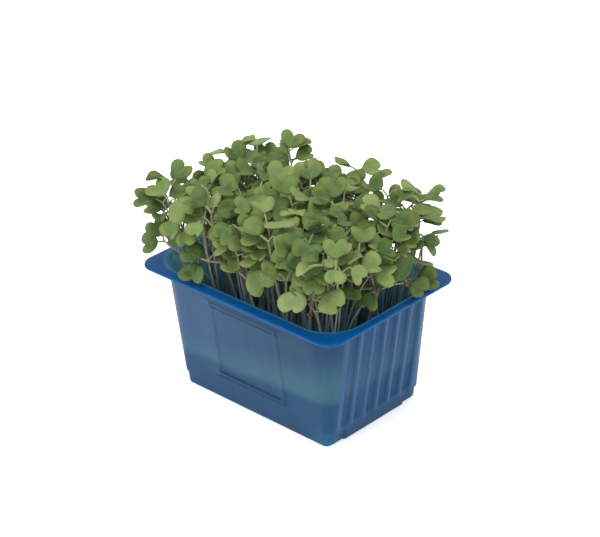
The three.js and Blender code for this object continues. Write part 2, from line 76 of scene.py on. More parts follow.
# Tub, as the part has it
TUB_HEIGHT = 52.0
RIM_HALF_X = 46.7
RIM_HALF_Y = 30.3
LEAN_X = 8.6
LEAN_Y = 5.4
RIM_RADIUS = 14.0
BASE_RADIUS = 2.5
LEAST_RADIUS = 0.8
WALL = 0.8
FLANGE_HALF_X = 50.0
FLANGE_HALF_Y = 35.0
FLANGE_RADIUS = 6.5
FLUTE_DEPTH = 1.0
FLUTE_FOOT_Z = 5.2
FLUTE_FULL_LOW_Z = 7.6
FLUTE_FULL_HIGH_Z = 46.5
FLUTE_HEAD_Z = 49.3
RIDGE_PITCH = 6.75
RIDGES_EACH_SIDE = 3
RIDGE_HALF = 0.8
RIDGE_FLANK = 0.9
FLUTED_HALF_Y = 23.6
FOOT_STEP = 0.9
FOOT_HEIGHT = 4.4
FOOT_EDGE = 0.5
FOOT_HALF_Y = 15.8
FLOOR_Z = 0.9
FRAME_HALF_WIDTH = 17.8
FRAME_LOW_Z = 11.0
FRAME_HIGH_Z = 44.5
FRAME_BAND = 2.1
PAD_TOP_Z = 17.0
PAD_BOTTOM_Z = 1.25
PAD_CLEAR = 0.4

# Heights at which the tub's skin has a loop, and loops of its flange and mouth: height and how far out
FOOT_TURNS = 4
FOOT_LEVELS = (1.2, 2.6, 3.8, 4.4, 4.8, 5.2, 5.8, 6.4, 7.0, 7.6)
WALL_LEVELS = (9.0, 15.5, 19.0, 23.0, 27.0, 31.0, 35.0, 39.0)
HEAD_LEVELS = (46.5, 47.2, 47.9, 48.6, 49.3, 49.8)
WALL_TO_FLANGE = ((50.15, 0.05), (50.35, 0.2), (50.45, 0.5))
FLANGE_UNDER = ((50.42, -0.5), (50.4, -0.3))
FLANGE_EDGE = ((50.5, -0.08), (50.75, 0.0), (51.1, 0.0))
FLANGE_ROUND = ((51.4, -0.1), (51.6, -0.35), (51.7, -0.75), (51.74, -1.2))
FLANGE_TOP_SHARES = (0.2, 0.4, 0.6, 0.8)
FLANGE_TOP_Z = (51.74, 51.98)
MOUTH_LOOPS = ((52.0, 1.0), (51.97, 0.65), (51.84, 0.3), (51.6, -0.05), (51.2, -0.4), (50.7, -0.65))
INSIDE_TOP_Z = 50.0
LONG_OUTER = (22.0, 27.0)
LONG_MIDDLES = (8.0, 0.0, -8.0)

# Growing pad: heights of its loops, and shares of its outline that its top is made of
PAD_LEVELS = (PAD_BOTTOM_Z, 2.8, FOOT_HEIGHT, 5.4, 6.4, 9.0, 11.5, 14.0, 15.6, 16.4)
PAD_TOP_SHARES = (0.99, 0.965, 0.92, 0.86, 0.79, 0.71, 0.62, 0.53, 0.44, 0.35, 0.26, 0.17, 0.08)
PAD_POINT_STEP = 3
PAD_RIM_SHARE = 0.98
PAD_RIM_DROP = 1.3

# How softly the tub's ridges and frame turn, and how finely its corners are divided
RIDGE_SOFT = 0.35
FRAME_SOFT = 0.4
FRAME_SLOPE = 1.4
UPRIGHT_SHARE = 0.35
CORNER_STEPS = 12
TUB_SMOOTH_ANGLE = 40
PAD_SMOOTH_ANGLE = 60

# Painted shade: dark lines along the frame, on the long sides, darkest under its level bars, then over the
# lower one, and faint beside its uprights
LINE_HALF = 0.24
LINE_REACH_X = 30.0
LINE_LEAST_Y = 24.0
LINE_SHADES = (1.0, 0.7, 0.12)

# A place is on a short side where its x passes its y by this much
SHORT_SIDE_MARGIN = 6.0

# Tub's colours: edges that fade over a range, how far clouds sway them, and how much of a colour shows
CLOUD_SIZE = 26
# Painted shade: the walls are darker in front of the pad, where it keeps light from coming through
PAD_EDGE_Z = 17.5
PAD_EDGE_RISE = 0.055
PAD_EDGE_SWAY = 5
PAD_EDGE_FADE = (-2.6, 2.2)
# Painted light: a teal band on the walls above the pad, where light comes through the plastic, and more of it
# in the hollows
BAND_Z = 26.0
BAND_RISE = 0.2
BAND_SWAY = 9
BAND_FADE = (-9.0, 7.0)
BAND_SHARE = 0.7
BAND_IN_HOLLOWS = 0.35
NEAR_RIBS_X = (-34, 30)
NEAR_RIBS_SWAY = 20
RIBBED_X = (34.0, 35.0)
RIBBED_X_PER_Y = 0.1
RIBBED_Y = (21.4, 22.4)
RIBBED_LOW_Z = (FLUTE_FOOT_Z - 0.4, FLUTE_FOOT_Z + 1.4)
RIBBED_HIGH_Z = (47.5, 49.5)
RIBBED_SHARE = 0.92
GLINT_X = (24, 38)
GLINT_Y = (-24, -14)
GLINT_Z = (0, 10)
GLINT_SHARE = 0.6
# How much of the painted highlight along the flange's outer edge shows
EDGE_HIGHLIGHT_SHARE = 0.8
GLOW_Z = (24, 50)

# Painted sheen on the ears of the flange, where it widens: it shows at the two corners where x and y have one
# sign, and more at the right one
EAR_X = (43.5, 47.0)
EAR_CORNERS = (-500, 500)
EAR_SIDES = (-10, 10)
EAR_LEFT = 0.5
EAR_MORE_RIGHT = 0.35

# Growing rule, as the part has it
SEED = 20261
CLUMP_COLUMNS = 6
CLUMP_ROWS = 8
HEADS_HALF_X = 44.0
HEADS_HALF_Y = 30.0
HEAD_JITTER = 3.0
BASE_SCALE_X = 0.82
BASE_SCALE_Y = 0.8
BASE_JITTER_X = 1.1
BASE_JITTER_Y = 0.8
ROOT_DEPTH = 7.6
TALL_Z = 80.0
TALL_SPREAD = 6.0
SHORT_Z = 75.0
SHORT_SPREAD = 17.0
EDGE_DROP = 4.0
REACH = np.array([51.5, 36.5, 87.5])
LIGHT_AZIMUTH = -0.78
TRIES = 400
STEM_BEND = 1.6
HEAD_LEAN = 0.12
LEAF_SPLAY = 0.45
STALK_LENGTHS = (3.0, 6.0)
STALK_RISES = (0.35, 1.0)
BLADE_TILTS = (-0.45, 0.6)
TILT_TO_LIGHT = 0.3
TILT_OUTWARD = 0.25
BLADE_ROLL = 0.45
ROLL_TO_LIGHT = 0.25
BLADE_WIDTHS = (9.0, 12.6)
SECOND_LEAF = 0.9
BLADE_FOLDS = (0.08, 0.3)
BLADE_DROOPS = (0.02, 0.22)
LOW_BEND_SHARE = 0.4
HIGH_BEND_SHARE = 0.3
BLADE_ASPECT = 0.74
BLADE_HALF = np.array([[0.0, 0.0], [0.08, 0.25], [0.38, 0.49], [0.76, 0.48], [1.0, 0.26]])
BLADE_SHARES = (0, 0.04, 0.08, 0.23, 0.38, 0.57, 0.76, 1)
BLADE_SIDES = (-1, -0.5, 0, 0.5, 1)
STALK_SHARES = (0.25, 0.5, 0.75, 1)
STEM_SAMPLES = 44
STEM_FIRST_SAMPLE = 6
RIM_ROOM = 1.2

# Room kept round blades and stems: blade to blade, blade edge, stem to blade, stem to edge, stem to stem
PART_ROOMS = {"blade": 1.05, "blade_edge": 0.8, "stem": 1.4, "stem_edge": 1.1, "apart": 1.9}
FILLER_ROOMS = {"blade": 0.5, "blade_edge": 0.05, "stem": 0.4, "stem_edge": 0.1, "apart": 0.8}

# Filler seedlings: how high their heads are, over the middle and in the fringe, and their leaves
FILLER_TOP_Z = 79.0
FRINGE_TOP_Z = 76.0
FILLER_SPREAD = 19.0
FRINGE_SPREAD = 9.0
FILLER_BASE_JITTER = 7.0
FILLER_BEND = 3.0
FILLER_LEAN = 0.25
FILLER_TILTS = (-0.5, 0.6)
FILLER_WIDTHS = (6.5, 10.0)
FILLER_FOLDS = (0.1, 0.75)
FILLER_TRIES = 60
FILLER_STEM_TRIES = 30
FILLERS_EACH = 5
FRINGE_TOP_FROM = (0.72, 0.98)
FRINGE_SPREAD_FROM = (0.5, 0.95)
NECK_DROPS = (3.0, 2.0, 1.0, 0.0)
NO_BEND = (0.0, 0.0, 0.0, 0.0)

# Fine blades, stems and stalks
BLADE_HUB = 0.22
BLADE_NOTCH = 0.59
BLADE_CUPS = (-0.2, 0.55)
BLADE_RIPPLES = (0.08, 0.36)
BLADE_TWIST = 0.3
ROD_SIDES = 6
STEM_PARTS = 12
STALK_PARTS = 8
RIB_PARTS = 3
STEM_SUNK = 1.5
STEM_TAPER = 0.3
STEM_ROOT_SHARE = 0.8
STALK_LEAVES = 0.4
STALK_ARRIVES = 0.35
STALK_BOW = 0.06
STALK_TAPER = (0.86, 0.66)
RIB_RADII = (0.26, 0.05)
RIB_REACH = 0.86
RIB_DEPTH = 0.45
BLADE_FOOT = -0.02
BLADE_LOBE = np.array(
    [
        [0.005, 0.05],
        [0.045, 0.18],
        [0.135, 0.33],
        [0.27, 0.45],
        [0.43, 0.51],
        [0.59, 0.48],
        [0.71, 0.38],
        [0.765, 0.235],
        [0.70, 0.085],
    ]
)
BLADE_RING_SHARES = (0.0, 0.6, 1.0)
BLADE_WAVES = 3
ROD_SIDEWAYS = (0.31, 0.87, 0.12)

# Blades' greens, from the deep one on: how far patches sway the tone, the tones over which the green
# comes in, and how much of it shows
LEAF_TONES = ((0.7, 0.0, 0.75, 1.0), (0.5, 0.45, 1.05, 1.0), (0.2, 0.90, 1.02, 0.7))
TONES_DRAWN = (0.0, 0.85)
TONE_SPREAD = 0.16
RIM_FROM_HUB = (0.28, 0.56)
RIM_SHARE = 0.3
BLOOM_PATCHES = (0.38, 0.66)
BLOOM_SHARE = 0.45
UNDERSIDE_SHARE = 0.55

# Veins, in shares of a blade's width: the midrib, and side veins with their angle, half width and edge
MIDRIB_HALF = (0.012, 0.035)
MIDRIB_END = (0.40, 0.52)
SIDE_VEINS = ((0.62, 0.02, 0.05), (1.05, 0.02, 0.06))
SIDE_VEINS_START = (0.02, 0.08)
SIDE_VEINS_END = (0.30, 0.40)
SIDE_VEINS_SHARE = 0.5
UPPER_VEINS = 0.17
UNDER_VEINS = 0.3

# Stems: heights over which they turn from the painted shade and blue light of the tub to pale and then green,
# and how much of the blush and the green shows
STEM_PALE_Z = (46.0, 64.0)
STEM_PALE_SWAY = 8
STEM_GREEN_Z = (64.0, 84.0)
STEM_GREEN_SWAY = 6
STEM_GREEN_SHARE = 0.55
BLUSH_TONES = (0.45, 0.95)
BLUSH_SWAY = 0.6
BLUSH_SHARE = 0.4

# Seed coats: on the pad, and stuck to stems a share of the way up
COAT_RADIUS = 0.85
COAT_CUT = 0.2
COAT_CUT_NORMAL = (0.25, 0, 1)
COAT_STRETCH = (1.3, 0.95, 0.85)
COAT_THICKNESS = 0.16
COATS_ON_PAD = 60
COATS_HALF_X = 36.0
COATS_HALF_Y = 22.5
COATS_ON_STEMS = 16
COAT_STEM_SHARES = (0.55, 0.9)
COAT_OFF_STEM = np.array([0.55, -0.55, 0.0])
COAT_TIP = 0.9
COAT_ROLL = 1.2
COAT_SIZES = (0.8, 1.15)

# Stage: metres, but millimetres for the floor's gap, what the camera aims at and its sensor
FLOOR_SIZE = 6.0
FLOOR_GAP = 0.1
FLOOR_PATCH_SHARE = 0.02
AIM = Vector((1.045, 1.031, 51.914))
SENSOR_WIDTH = 36.0
CLIP_START = 0.01
LIGHTS = (
    ("key_light", (-0.25, -1.1, 1.3), 0.9, 1.0),
    ("top_light", (0.3, 0.2, 1.6), 1.2, 0.7),
)

# Seedlings that stand out of the crowd: stem base, two bend points and head,
# then for each leaf the azimuth, stalk length, rise, tilt, roll and width
SINGLES = {
    "cress_arching_right": (
        [[35.8, -12, 9.4], [36.2, -13, 46], [31, 0, 58], [43.3, 15.5, 56]],
        [[0.9, 2.6, 0.1, -0.2, 0.6, 10.2], [3.6, 3, 0.9, 0.8, -0.5, 10.5]],
    ),
    "cress_leaning_left": (
        [[-12, -15, 9.4], [-10, -17, 44], [-25, -26.5, 55], [-39.5, -29.5, 62]],
        [[3.92, 2.5, 0, -0.1, -0.6, 8.4], [3.5, 2.6, 1.2, 1.0, -0.7, 9.4]],
    ),
    "cress_drooping_front": (
        [[24, -18, 9.4], [23.5, -18, 35], [23, -21, 57], [27, -25.5, 63.5]],
        [[-1.2, 2.6, 0.1, -0.75, 0.1, 11.4], [2.9, 4, 0.5, 0.15, -0.2, 9.6]],
    ),
    "cress_peak": (
        [[-24, 18, 9.4], [-23.3, 18, 38], [-25, 24, 62], [-26, 26, 78.3]],
        [[3.6, 3, 1.2, 1.1, 0.2, 9], [0.8, 3, 0.9, 0.35, 0.3, 9]],
    ),
    "cress_left_tip": (
        [[-24.2, -6, 9.4], [-25, -7, 38], [-37, -22, 60], [-42, -27, 76.5]],
        [[3.85, 3.2, 0.5, 0.05, -0.35, 10.4], [1.0, 3.6, 0.7, 0.2, 0.1, 9.6]],
    ),
}
# Lightness of seedlings whose own draw of it isn't used: 0 is deep green, and 1 yellowish
TONES = {
    "cress_drooping_front": 1.2,
    "arching_2": -0.1,
    "cress_clump_02": 0.0,
    "cress_clump_24": 0.15,
    "cress_clump_12": 0.2,
}
SINGLE_FOLD = 0.18
SINGLE_DROOP = 0.12

# Seedlings of the scene alone that give the crowd its outline: the head, then the leaves as above
OUTER_SEEDLINGS = (
    ((-45, -18.9, 79.5), ((1.3, 3, 1.0, 0.85, 0.4, 9.5), (3.9, 4, 0.9, 0.05, 0.2, 9.5))),
    ((-44.3, 12.7, 81.8), ((0.78, 3, 0.8, 0.45, -0.2, 10), (3.92, 3, 0.2, 0.0, 0.2, 8.8))),
    ((-34.4, 9.4, 80.2), ((3.3, 3, 1.0, 0.7, -0.3, 10), (0.7, 3, 0.5, 0.1, 0.3, 8.5))),
    ((-27.8, 26.3, 82.5), ((1.9, 1.5, 1.0, 0.6, 0.4, 9.5), (0.9, 3, 0.5, 0.3, -0.3, 9))),
    ((-38.6, 25.6, 73), ((2.6, 3, 1.2, 1.0, -0.2, 9), (5.6, 3, 0.8, 0.2, 0.2, 9))),
    ((-2.3, 29.4, 74), ((3.5, 3, 1.0, 0.7, -0.4, 8.5), (0.6, 3.5, 0.7, 0.3, 0.4, 8.5))),
    ((5.5, 28.8, 83.7), ((0.8, 2, 0.3, -0.1, 0.3, 9.5), (3.9, 3, 0.6, 0.35, 0.3, 8.5))),
    ((10.7, 29.1, 79.1), ((0.78, 3, 0.6, 0.45, -0.25, 9.5), (3.7, 3, 0.4, 0.2, -0.3, 8))),
    ((37.8, 29.2, 83.2), ((3.9, 2, 0.4, 0.35, 0.1, 9.5), (0.8, 2, 0.3, 0.15, -0.3, 8.5))),
    ((41.9, 22.2, 84.7), ((0.8, 2, 0.4, 0.35, 0.0, 8.5), (3.3, 3, 0.5, -0.2, -0.3, 8.5))),
    ((37.6, 26.5, 73), ((0.78, 2, 0.4, 0.1, 0.2, 9), (3.9, 2, 0.3, 0.0, -0.2, 8.5))),
    ((43.7, 22.2, 71.1), ((0.8, 3, 0.3, 0.1, -0.45, 8.5), (3.6, 2.5, 0.4, -0.1, 0.3, 8.5))),
    ((40.1, 23.2, 68.6), ((0.78, 2, 0.0, -0.6, 0.35, 9.5), (3.9, 3, 0.0, -0.4, -0.2, 7.5))),
    ((41.5, 14.6, 81.6), ((0.78, 3, 0.5, 0.2, 0.0, 9.5), (3.8, 3, 0.5, 0.1, -0.1, 9.5))),
    ((-41.4, 2.4, 78.2), ((3.6, 3, 0.8, 0.5, -0.1, 8), (1.0, 3, 0.6, 0.2, 0.2, 8.5))),
    ((-43.5, -22, 72.8), ((3.9, 2.5, 0.2, 0.0, -0.4, 10), (0.8, 3, 0.6, 0.1, 0.2, 8.5))),
)

# Seedlings of the scene alone whose stems lean or arch: stem base, two bend points and head, then the leaves
ARCHING_SEEDLINGS = (
    (
        ((34.1, -18.4, 9.4), (36.4, -16.5, 36.2), (42.5, -18.2, 67.3), (46.1, 10.1, 57.7)),
        ((3.3, 1.5, 1.0, 0.9, -0.5, 12), (0.3, 1.5, 0.2, -0.4, 0.4, 8.8)),
    ),
    (
        ((31, -21, 9.4), (34, -22, 30), (40, -26, 60), (32, -28.5, 61)),
        ((1.0, 2.5, 0.6, 0.3, 0.3, 8.5), (2.6, 2, 0.7, 0.5, -0.3, 8)),
    ),
    (
        ((5, -15, 9.4), (8.3, -13.1, 45.2), (0, -18.6, 61.3), (-16, -30.1, 61.9)),
        ((3.46, 2.9, 0.21, 0.23, -0.34, 9.5), (1.03, 3.62, 0.66, 0.47, 0.1, 8)),
    ),
    (
        ((30, -10, 9.4), (32, -11, 32), (35, -12, 52), (43, -7, 66)),
        ((0.4, 3, 0.6, 0.2, 0.4, 10), (3.6, 3, 0.5, 0.1, -0.4, 9.5)),
    ),
)

UP = np.array([0.0, 0.0, 1.0])


def lerp(low, high, share):
    return low + (high - low) * share


def smooth(low, high, value):
    """0 below low, 1 above high and a soft step between, on numbers or arrays."""
    share = np.clip((value - low) / (high - low), 0.0, 1.0)
    return share * share * (3 - 2 * share)


class Draws:
    """Repeatable numbers, in the same order as the part's own."""

    def __init__(self, seed):
        self.state = seed

    def one(self):
        self.state = (self.state * 1664525 + 1013904223) % 4294967296
        return self.state / 4294967296

    def between(self, low, high):
        return lerp(low, high, self.one())

    def around(self, spread):
        return self.between(-spread, spread)


# Growing rule
def turned(one, other, angle):
    """A direction turned towards another by an angle."""
    return one * math.cos(angle) + other * math.sin(angle)


def crossed(one, other):
    """The direction square to two others."""
    (a, b, c), (d, e, f) = one, other
    return np.array([b * f - c * e, c * d - a * f, a * e - b * d])


class Leaf:
    """A seed leaf on its stalk: where the blade starts and the three directions that it lies in."""

    def __init__(self, head, azimuth, stalk, rise, tilt, roll, width, fold, droop):
        out = np.array([math.cos(azimuth), math.sin(azimuth), 0.0])
        level = np.array([-math.sin(azimuth), math.cos(azimuth), 0.0])
        stalk_axis = turned(out, UP, rise)
        self.head = head
        self.start = head + stalk_axis * stalk
        self.along = turned(out, UP, tilt)
        face = crossed(self.along, level)
        self.across = turned(level, face, roll)
        self.normal = turned(face, -level, roll)
        self.axes = np.array([self.along, self.across, self.normal])
        self.width = width
        self.length = width * BLADE_ASPECT
        self.fold = fold
        self.droop = droop

    def lift(self, along, side):
        return np.abs(side) * self.fold - self.droop * along**2 / self.length

    def places(self, along, side, rise=0.0):
        """Points of the blade at distances along and across it, raised off its face."""
        off = self.lift(along, side) + rise
        return self.start + np.stack([along, side, off], axis=-1) @ self.axes


def bezier(path, shares):
    """Points of a cubic curve through a path of four points."""
    t = np.asarray(shares, float)[:, None]
    base, low, high, head = (np.asarray(point, float) for point in path)
    return (1 - t) ** 3 * base + 3 * (1 - t) ** 2 * t * low + 3 * (1 - t) * t**2 * high + t**3 * head


def half_width_at(share):
    """Half of a blade's width at a share of its length, as a share of its whole width."""
    return np.interp(share, BLADE_HALF[:, 0], BLADE_HALF[:, 1])


# Places that a blade, a stalk and a stem are tested at
TEST_ALONG = np.repeat(BLADE_SHARES, len(BLADE_SIDES))
TEST_SIDE = np.tile(BLADE_SIDES, len(BLADE_SHARES)) * half_width_at(TEST_ALONG)
STALK_STEPS = np.array(STALK_SHARES)[:, None]
STEM_STEPS = np.arange(STEM_FIRST_SAMPLE, STEM_SAMPLES + 1) / STEM_SAMPLES
BLADE_POINTS = 2 * len(TEST_ALONG)
ROD_POINTS = 2 * len(STALK_SHARES) + len(STEM_STEPS)


class Seedling:
    """A stem and its leaves, with the points that it is tested at against the others."""

    def __init__(self, clump, path, leaves):
        self.clump = clump
        self.path = path
        self.leaves = leaves
        blades = [leaf.places(TEST_ALONG * leaf.length, TEST_SIDE * leaf.width) for leaf in leaves]
        stalks = [lerp(leaf.head, leaf.start, STALK_STEPS) for leaf in leaves]
        self.points = np.vstack([*blades, *stalks, bezier(path, STEM_STEPS)])
        self.low = self.points.min(axis=0) - PART_ROOMS["apart"]
        self.high = self.points.max(axis=0) + PART_ROOMS["apart"]
        self.frames = np.array(
            [
                (*leaf.start, *leaf.axes.ravel(), leaf.length, leaf.width, leaf.fold, leaf.droop)
                for leaf in leaves
            ]
        )


def out_of_room(points):
    """Whether any point is past the part's reach or comes too near the tub's wall."""
    x, y, z = np.abs(points[:, 0]), np.abs(points[:, 1]), points[:, 2]
    share = 1 - z / TUB_HEIGHT
    radius = lerp(RIM_RADIUS, BASE_RADIUS, share)
    straight_x = RIM_HALF_X - LEAN_X * share - FLUTE_DEPTH - WALL - RIM_ROOM - radius
    straight_y = RIM_HALF_Y - LEAN_Y * share - WALL - RIM_ROOM - radius
    past = np.maximum(0, x - straight_x) ** 2 + np.maximum(0, y - straight_y) ** 2
    in_wall = (z <= TUB_HEIGHT + RIM_ROOM) & (past > radius**2)
    past_reach = (x > REACH[0]) | (y > REACH[1]) | (z > REACH[2])
    return bool((in_wall | past_reach).any())


def meets_blade(points, rooms, margins, frames):
    """Whether any point comes within its room of a blade's face and its margin of the blade's edge."""
    start, axes = frames[:, 0:3], frames[:, 3:12].reshape(-1, 3, 3)
    length, width, fold, droop = frames[:, 12:].T
    along, side, off = points @ axes.transpose(1, 2, 0) - np.einsum("mak,mk->am", axes, start)[:, None, :]
    room, margin = rooms[:, None], margins[:, None]
    inside = (along >= -margin) & (along <= length + margin)
    inside &= np.abs(side) <= half_width_at(along / length) * width + margin
    lift = np.abs(side) * fold - droop * along**2 / length
    return bool((inside & (np.abs(off - lift) < room)).any())


class Crowd:
    """The seedlings placed so far."""

    def __init__(self, seedlings, rooms):
        self.seedlings = []
        self.room = np.repeat([rooms["blade"], rooms["stem"]], [BLADE_POINTS, ROD_POINTS])
        self.edge = np.repeat([rooms["blade_edge"], rooms["stem_edge"]], [BLADE_POINTS, ROD_POINTS])
        self.apart = rooms["apart"]
        for seedling in seedlings:
            self.add(seedling)

    def add(self, seedling):
        self.seedlings.append(seedling)
        self.lows = np.array([other.low for other in self.seedlings])
        self.highs = np.array([other.high for other in self.seedlings])
        self.points = np.array([other.points for other in self.seedlings])
        self.frames = np.array([other.frames for other in self.seedlings])
        self.clumps = np.array([other.clump for other in self.seedlings])

    def fits(self, new):
        if out_of_room(new.points):
            return False
        near = ((self.lows <= new.high) & (self.highs >= new.low)).all(axis=1)
        if not near.any():
            return True
        if meets_blade(new.points, self.room, self.edge, self.frames[near].reshape(-1, 16)):
            return False
        others = self.points[near]
        rooms, edges = (np.tile(kept, len(others)) for kept in (self.room, self.edge))
        if meets_blade(others.reshape(-1, 3), rooms, edges, new.frames):
            return False
        stems = self.points[near & (self.clumps != new.clump), BLADE_POINTS:].reshape(-1, 3)
        rods = new.points[BLADE_POINTS:]
        gaps = (stems**2).sum(axis=1)[:, None] + (rods**2).sum(axis=1)[None] - 2 * stems @ rods.T
        return not (gaps < self.apart**2).any()


def stem_path(bend, base, head):
    """The stem leaves its root upright and comes into its head along a lean that carries on outwards."""
    bend_x, bend_y, top_x, top_y = bend
    height = head[2] - base[2]
    lean_x = (head[0] - base[0]) / height + top_x
    lean_y = (head[1] - base[1]) / height + top_y
    reach = HIGH_BEND_SHARE * height
    low = base + np.array([bend_x, bend_y, LOW_BEND_SHARE * height])
    high = head - np.array([lean_x * reach, lean_y * reach, reach])
    return [base, low, high, head]


def draw_leaves(draws, head, cell, edge, tilts=BLADE_TILTS, widths=BLADE_WIDTHS, folds=BLADE_FOLDS):
    """Two leaves that face about opposite ways, tipped towards the light and, near the edge, outwards."""
    facing = draws.between(0, 2 * math.pi)
    splay = draws.around(LEAF_SPLAY)
    leaves = []
    for which, azimuth in enumerate((facing, facing + math.pi + splay)):
        outward = (math.cos(azimuth) * cell[0] + math.sin(azimuth) * cell[1]) * edge
        to_light = math.cos(azimuth - LIGHT_AZIMUTH)
        across_light = math.sin(azimuth - LIGHT_AZIMUTH)
        leaves.append(
            Leaf(
                head,
                azimuth,
                stalk=draws.between(*STALK_LENGTHS),
                rise=draws.between(*STALK_RISES),
                tilt=draws.between(*tilts) - TILT_TO_LIGHT * to_light - TILT_OUTWARD * outward,
                roll=draws.around(BLADE_ROLL) + ROLL_TO_LIGHT * across_light,
                width=draws.between(*widths) * (SECOND_LEAF if which else 1),
                fold=draws.between(*folds),
                droop=draws.between(*BLADE_DROOPS),
            )
        )
    return leaves


def draw_seedling(draws, name, base, row, half_column, tall):
    """A seedling of the part, whose head is over its own half of its clump's cell."""
    cell_x = (half_column + 0.5) / CLUMP_COLUMNS - 1
    cell_y = ((row + 0.5) / CLUMP_ROWS) * 2 - 1
    edge = max(abs(cell_x), abs(cell_y))
    head_x = cell_x * HEADS_HALF_X + draws.around(HEAD_JITTER)
    head_y = cell_y * HEADS_HALF_Y + draws.around(HEAD_JITTER)
    drop = draws.one()
    head_z = TALL_Z - TALL_SPREAD * drop if tall else SHORT_Z - SHORT_SPREAD * drop - EDGE_DROP * edge
    head = np.array([head_x, head_y, head_z])
    bend = [draws.around(spread) for spread in (STEM_BEND, STEM_BEND, HEAD_LEAN, HEAD_LEAN)]
    leaves = draw_leaves(draws, head, (cell_x, cell_y), edge)
    return Seedling(name, stem_path(bend, base, head), leaves)


def clump_bases(draws):
    """Where each clump of the part stands in the pad."""
    bases = []
    for row in range(CLUMP_ROWS):
        for column in range(CLUMP_COLUMNS):
            cell_x = ((column + 0.5) / CLUMP_COLUMNS) * 2 - 1
            cell_y = ((row + 0.5) / CLUMP_ROWS) * 2 - 1
            x = cell_x * HEADS_HALF_X * BASE_SCALE_X + draws.around(BASE_JITTER_X)
            y = cell_y * HEADS_HALF_Y * BASE_SCALE_Y + draws.around(BASE_JITTER_Y)
            bases.append((row, column, np.array([x, y, PAD_TOP_Z - ROOT_DEPTH])))
    return bases


def placed_seedling(name, path, leaves):
    points = [np.array(point, float) for point in path]
    return Seedling(name, points, [Leaf(points[3], *leaf, SINGLE_FOLD, SINGLE_DROOP) for leaf in leaves])


def single_seedlings():
    return [placed_seedling(name, path, leaves) for name, (path, leaves) in SINGLES.items()]


def placed_fillers():
    """The scene's own seedlings that have a place of their own, after the photo."""
    placed = []
    for number, (path, leaves) in enumerate(ARCHING_SEEDLINGS):
        placed.append(placed_seedling(f"arching_{number}", path, leaves))
    for number, (head, leaves) in enumerate(OUTER_SEEDLINGS):
        base = (head[0] * BASE_SCALE_X, head[1] * BASE_SCALE_Y, PAD_TOP_Z - ROOT_DEPTH)
        path = stem_path(NO_BEND, np.array(base), np.array(head))
        placed.append(placed_seedling(f"outer_{number}", path, leaves))
    return placed


@lru_cache(maxsize=1)
def part_seedlings():
    """The seedlings of the part, grown again by its own rule."""
    draws = Draws(SEED)
    bases = clump_bases(draws)
    crowd = Crowd(single_seedlings(), PART_ROOMS)
    for tall in (True, False):
        for number, (row, column, base) in enumerate(bases):
            name = f"cress_clump_{number + 1:02d}"
            swapped = (row + column) % 2 == 1
            half_column = 2 * column + (1 if tall == swapped else 0)
            for _ in range(TRIES):
                new = draw_seedling(draws, name, base, row, half_column, tall)
                if crowd.fits(new):
                    crowd.add(new)
                    break
    return crowd.seedlings


# Filler seedlings, which stand between those of the part
def filler_stem(draws, head):
    base = np.array(
        [
            head[0] * BASE_SCALE_X + draws.around(FILLER_BASE_JITTER),
            head[1] * BASE_SCALE_Y + draws.around(FILLER_BASE_JITTER),
            PAD_TOP_Z - ROOT_DEPTH,
        ]
    )
    bend = [draws.around(spread) for spread in (FILLER_BEND, FILLER_BEND, FILLER_LEAN, FILLER_LEAN)]
    return stem_path(bend, base, head)


def grow_filler(draws, crowd, name):
    """A seedling anywhere over the mouth: its leaves find room first, and then its stem.
    Those near the edge stay in the fringe, which is lower and thinner."""
    cell_x, cell_y = draws.around(1.0), draws.around(1.0)
    edge = max(abs(cell_x), abs(cell_y))
    top = lerp(FILLER_TOP_Z, FRINGE_TOP_Z, float(smooth(*FRINGE_TOP_FROM, edge)))
    spread = lerp(FILLER_SPREAD, FRINGE_SPREAD, float(smooth(*FRINGE_SPREAD_FROM, edge)))
    head_z = top - spread * draws.one()
    head = np.array([cell_x * HEADS_HALF_X, cell_y * HEADS_HALF_Y, head_z])
    leaves = draw_leaves(draws, head, (cell_x, cell_y), edge, FILLER_TILTS, FILLER_WIDTHS, FILLER_FOLDS)
    neck = [head - UP * drop for drop in NECK_DROPS]
    if not crowd.fits(Seedling(name, neck, leaves)):
        return None
    for _ in range(FILLER_STEM_TRIES):
        new = Seedling(name, filler_stem(draws, head), leaves)
        if crowd.fits(new):
            return new
    return None


@lru_cache(maxsize=1)
def filler_seedlings(count, seed):
    """The scene's own seedlings: those with a place of their own, then the drawn ones that find room."""
    draws = Draws(seed)
    fillers = placed_fillers()
    crowd = Crowd([*part_seedlings(), *fillers], FILLER_ROOMS)
    for _ in range(count):
        for _ in range(FILLER_TRIES):
            new = grow_filler(draws, crowd, f"filler_{len(fillers)}")
            if new:
                crowd.add(new)
                fillers.append(new)
                break
    return fillers


# Modelling
def deselect():
    bpy.ops.object.select_all(action="DESELECT")


def activate(piece):
    deselect()
    piece.select_set(True)
    bpy.context.view_layer.objects.active = piece


def coordinates(mesh):
    places = np.empty(3 * len(mesh.vertices))
    mesh.vertices.foreach_get("co", places)
    return places.reshape(-1, 3)


def place_vertices(mesh, places):
    """Moves a mesh's vertices to places in millimetres."""
    mesh.vertices.foreach_set("co", (np.asarray(places) * MM).ravel())
    mesh.update()


def paint(mesh, name, values):
    """Keeps a number for each vertex, which the material reads."""
    layer = mesh.attributes.get(name) or mesh.attributes.new(name, "FLOAT", "POINT")
    layer.data.foreach_set("value", np.broadcast_to(values, len(mesh.vertices)).astype(np.float32))


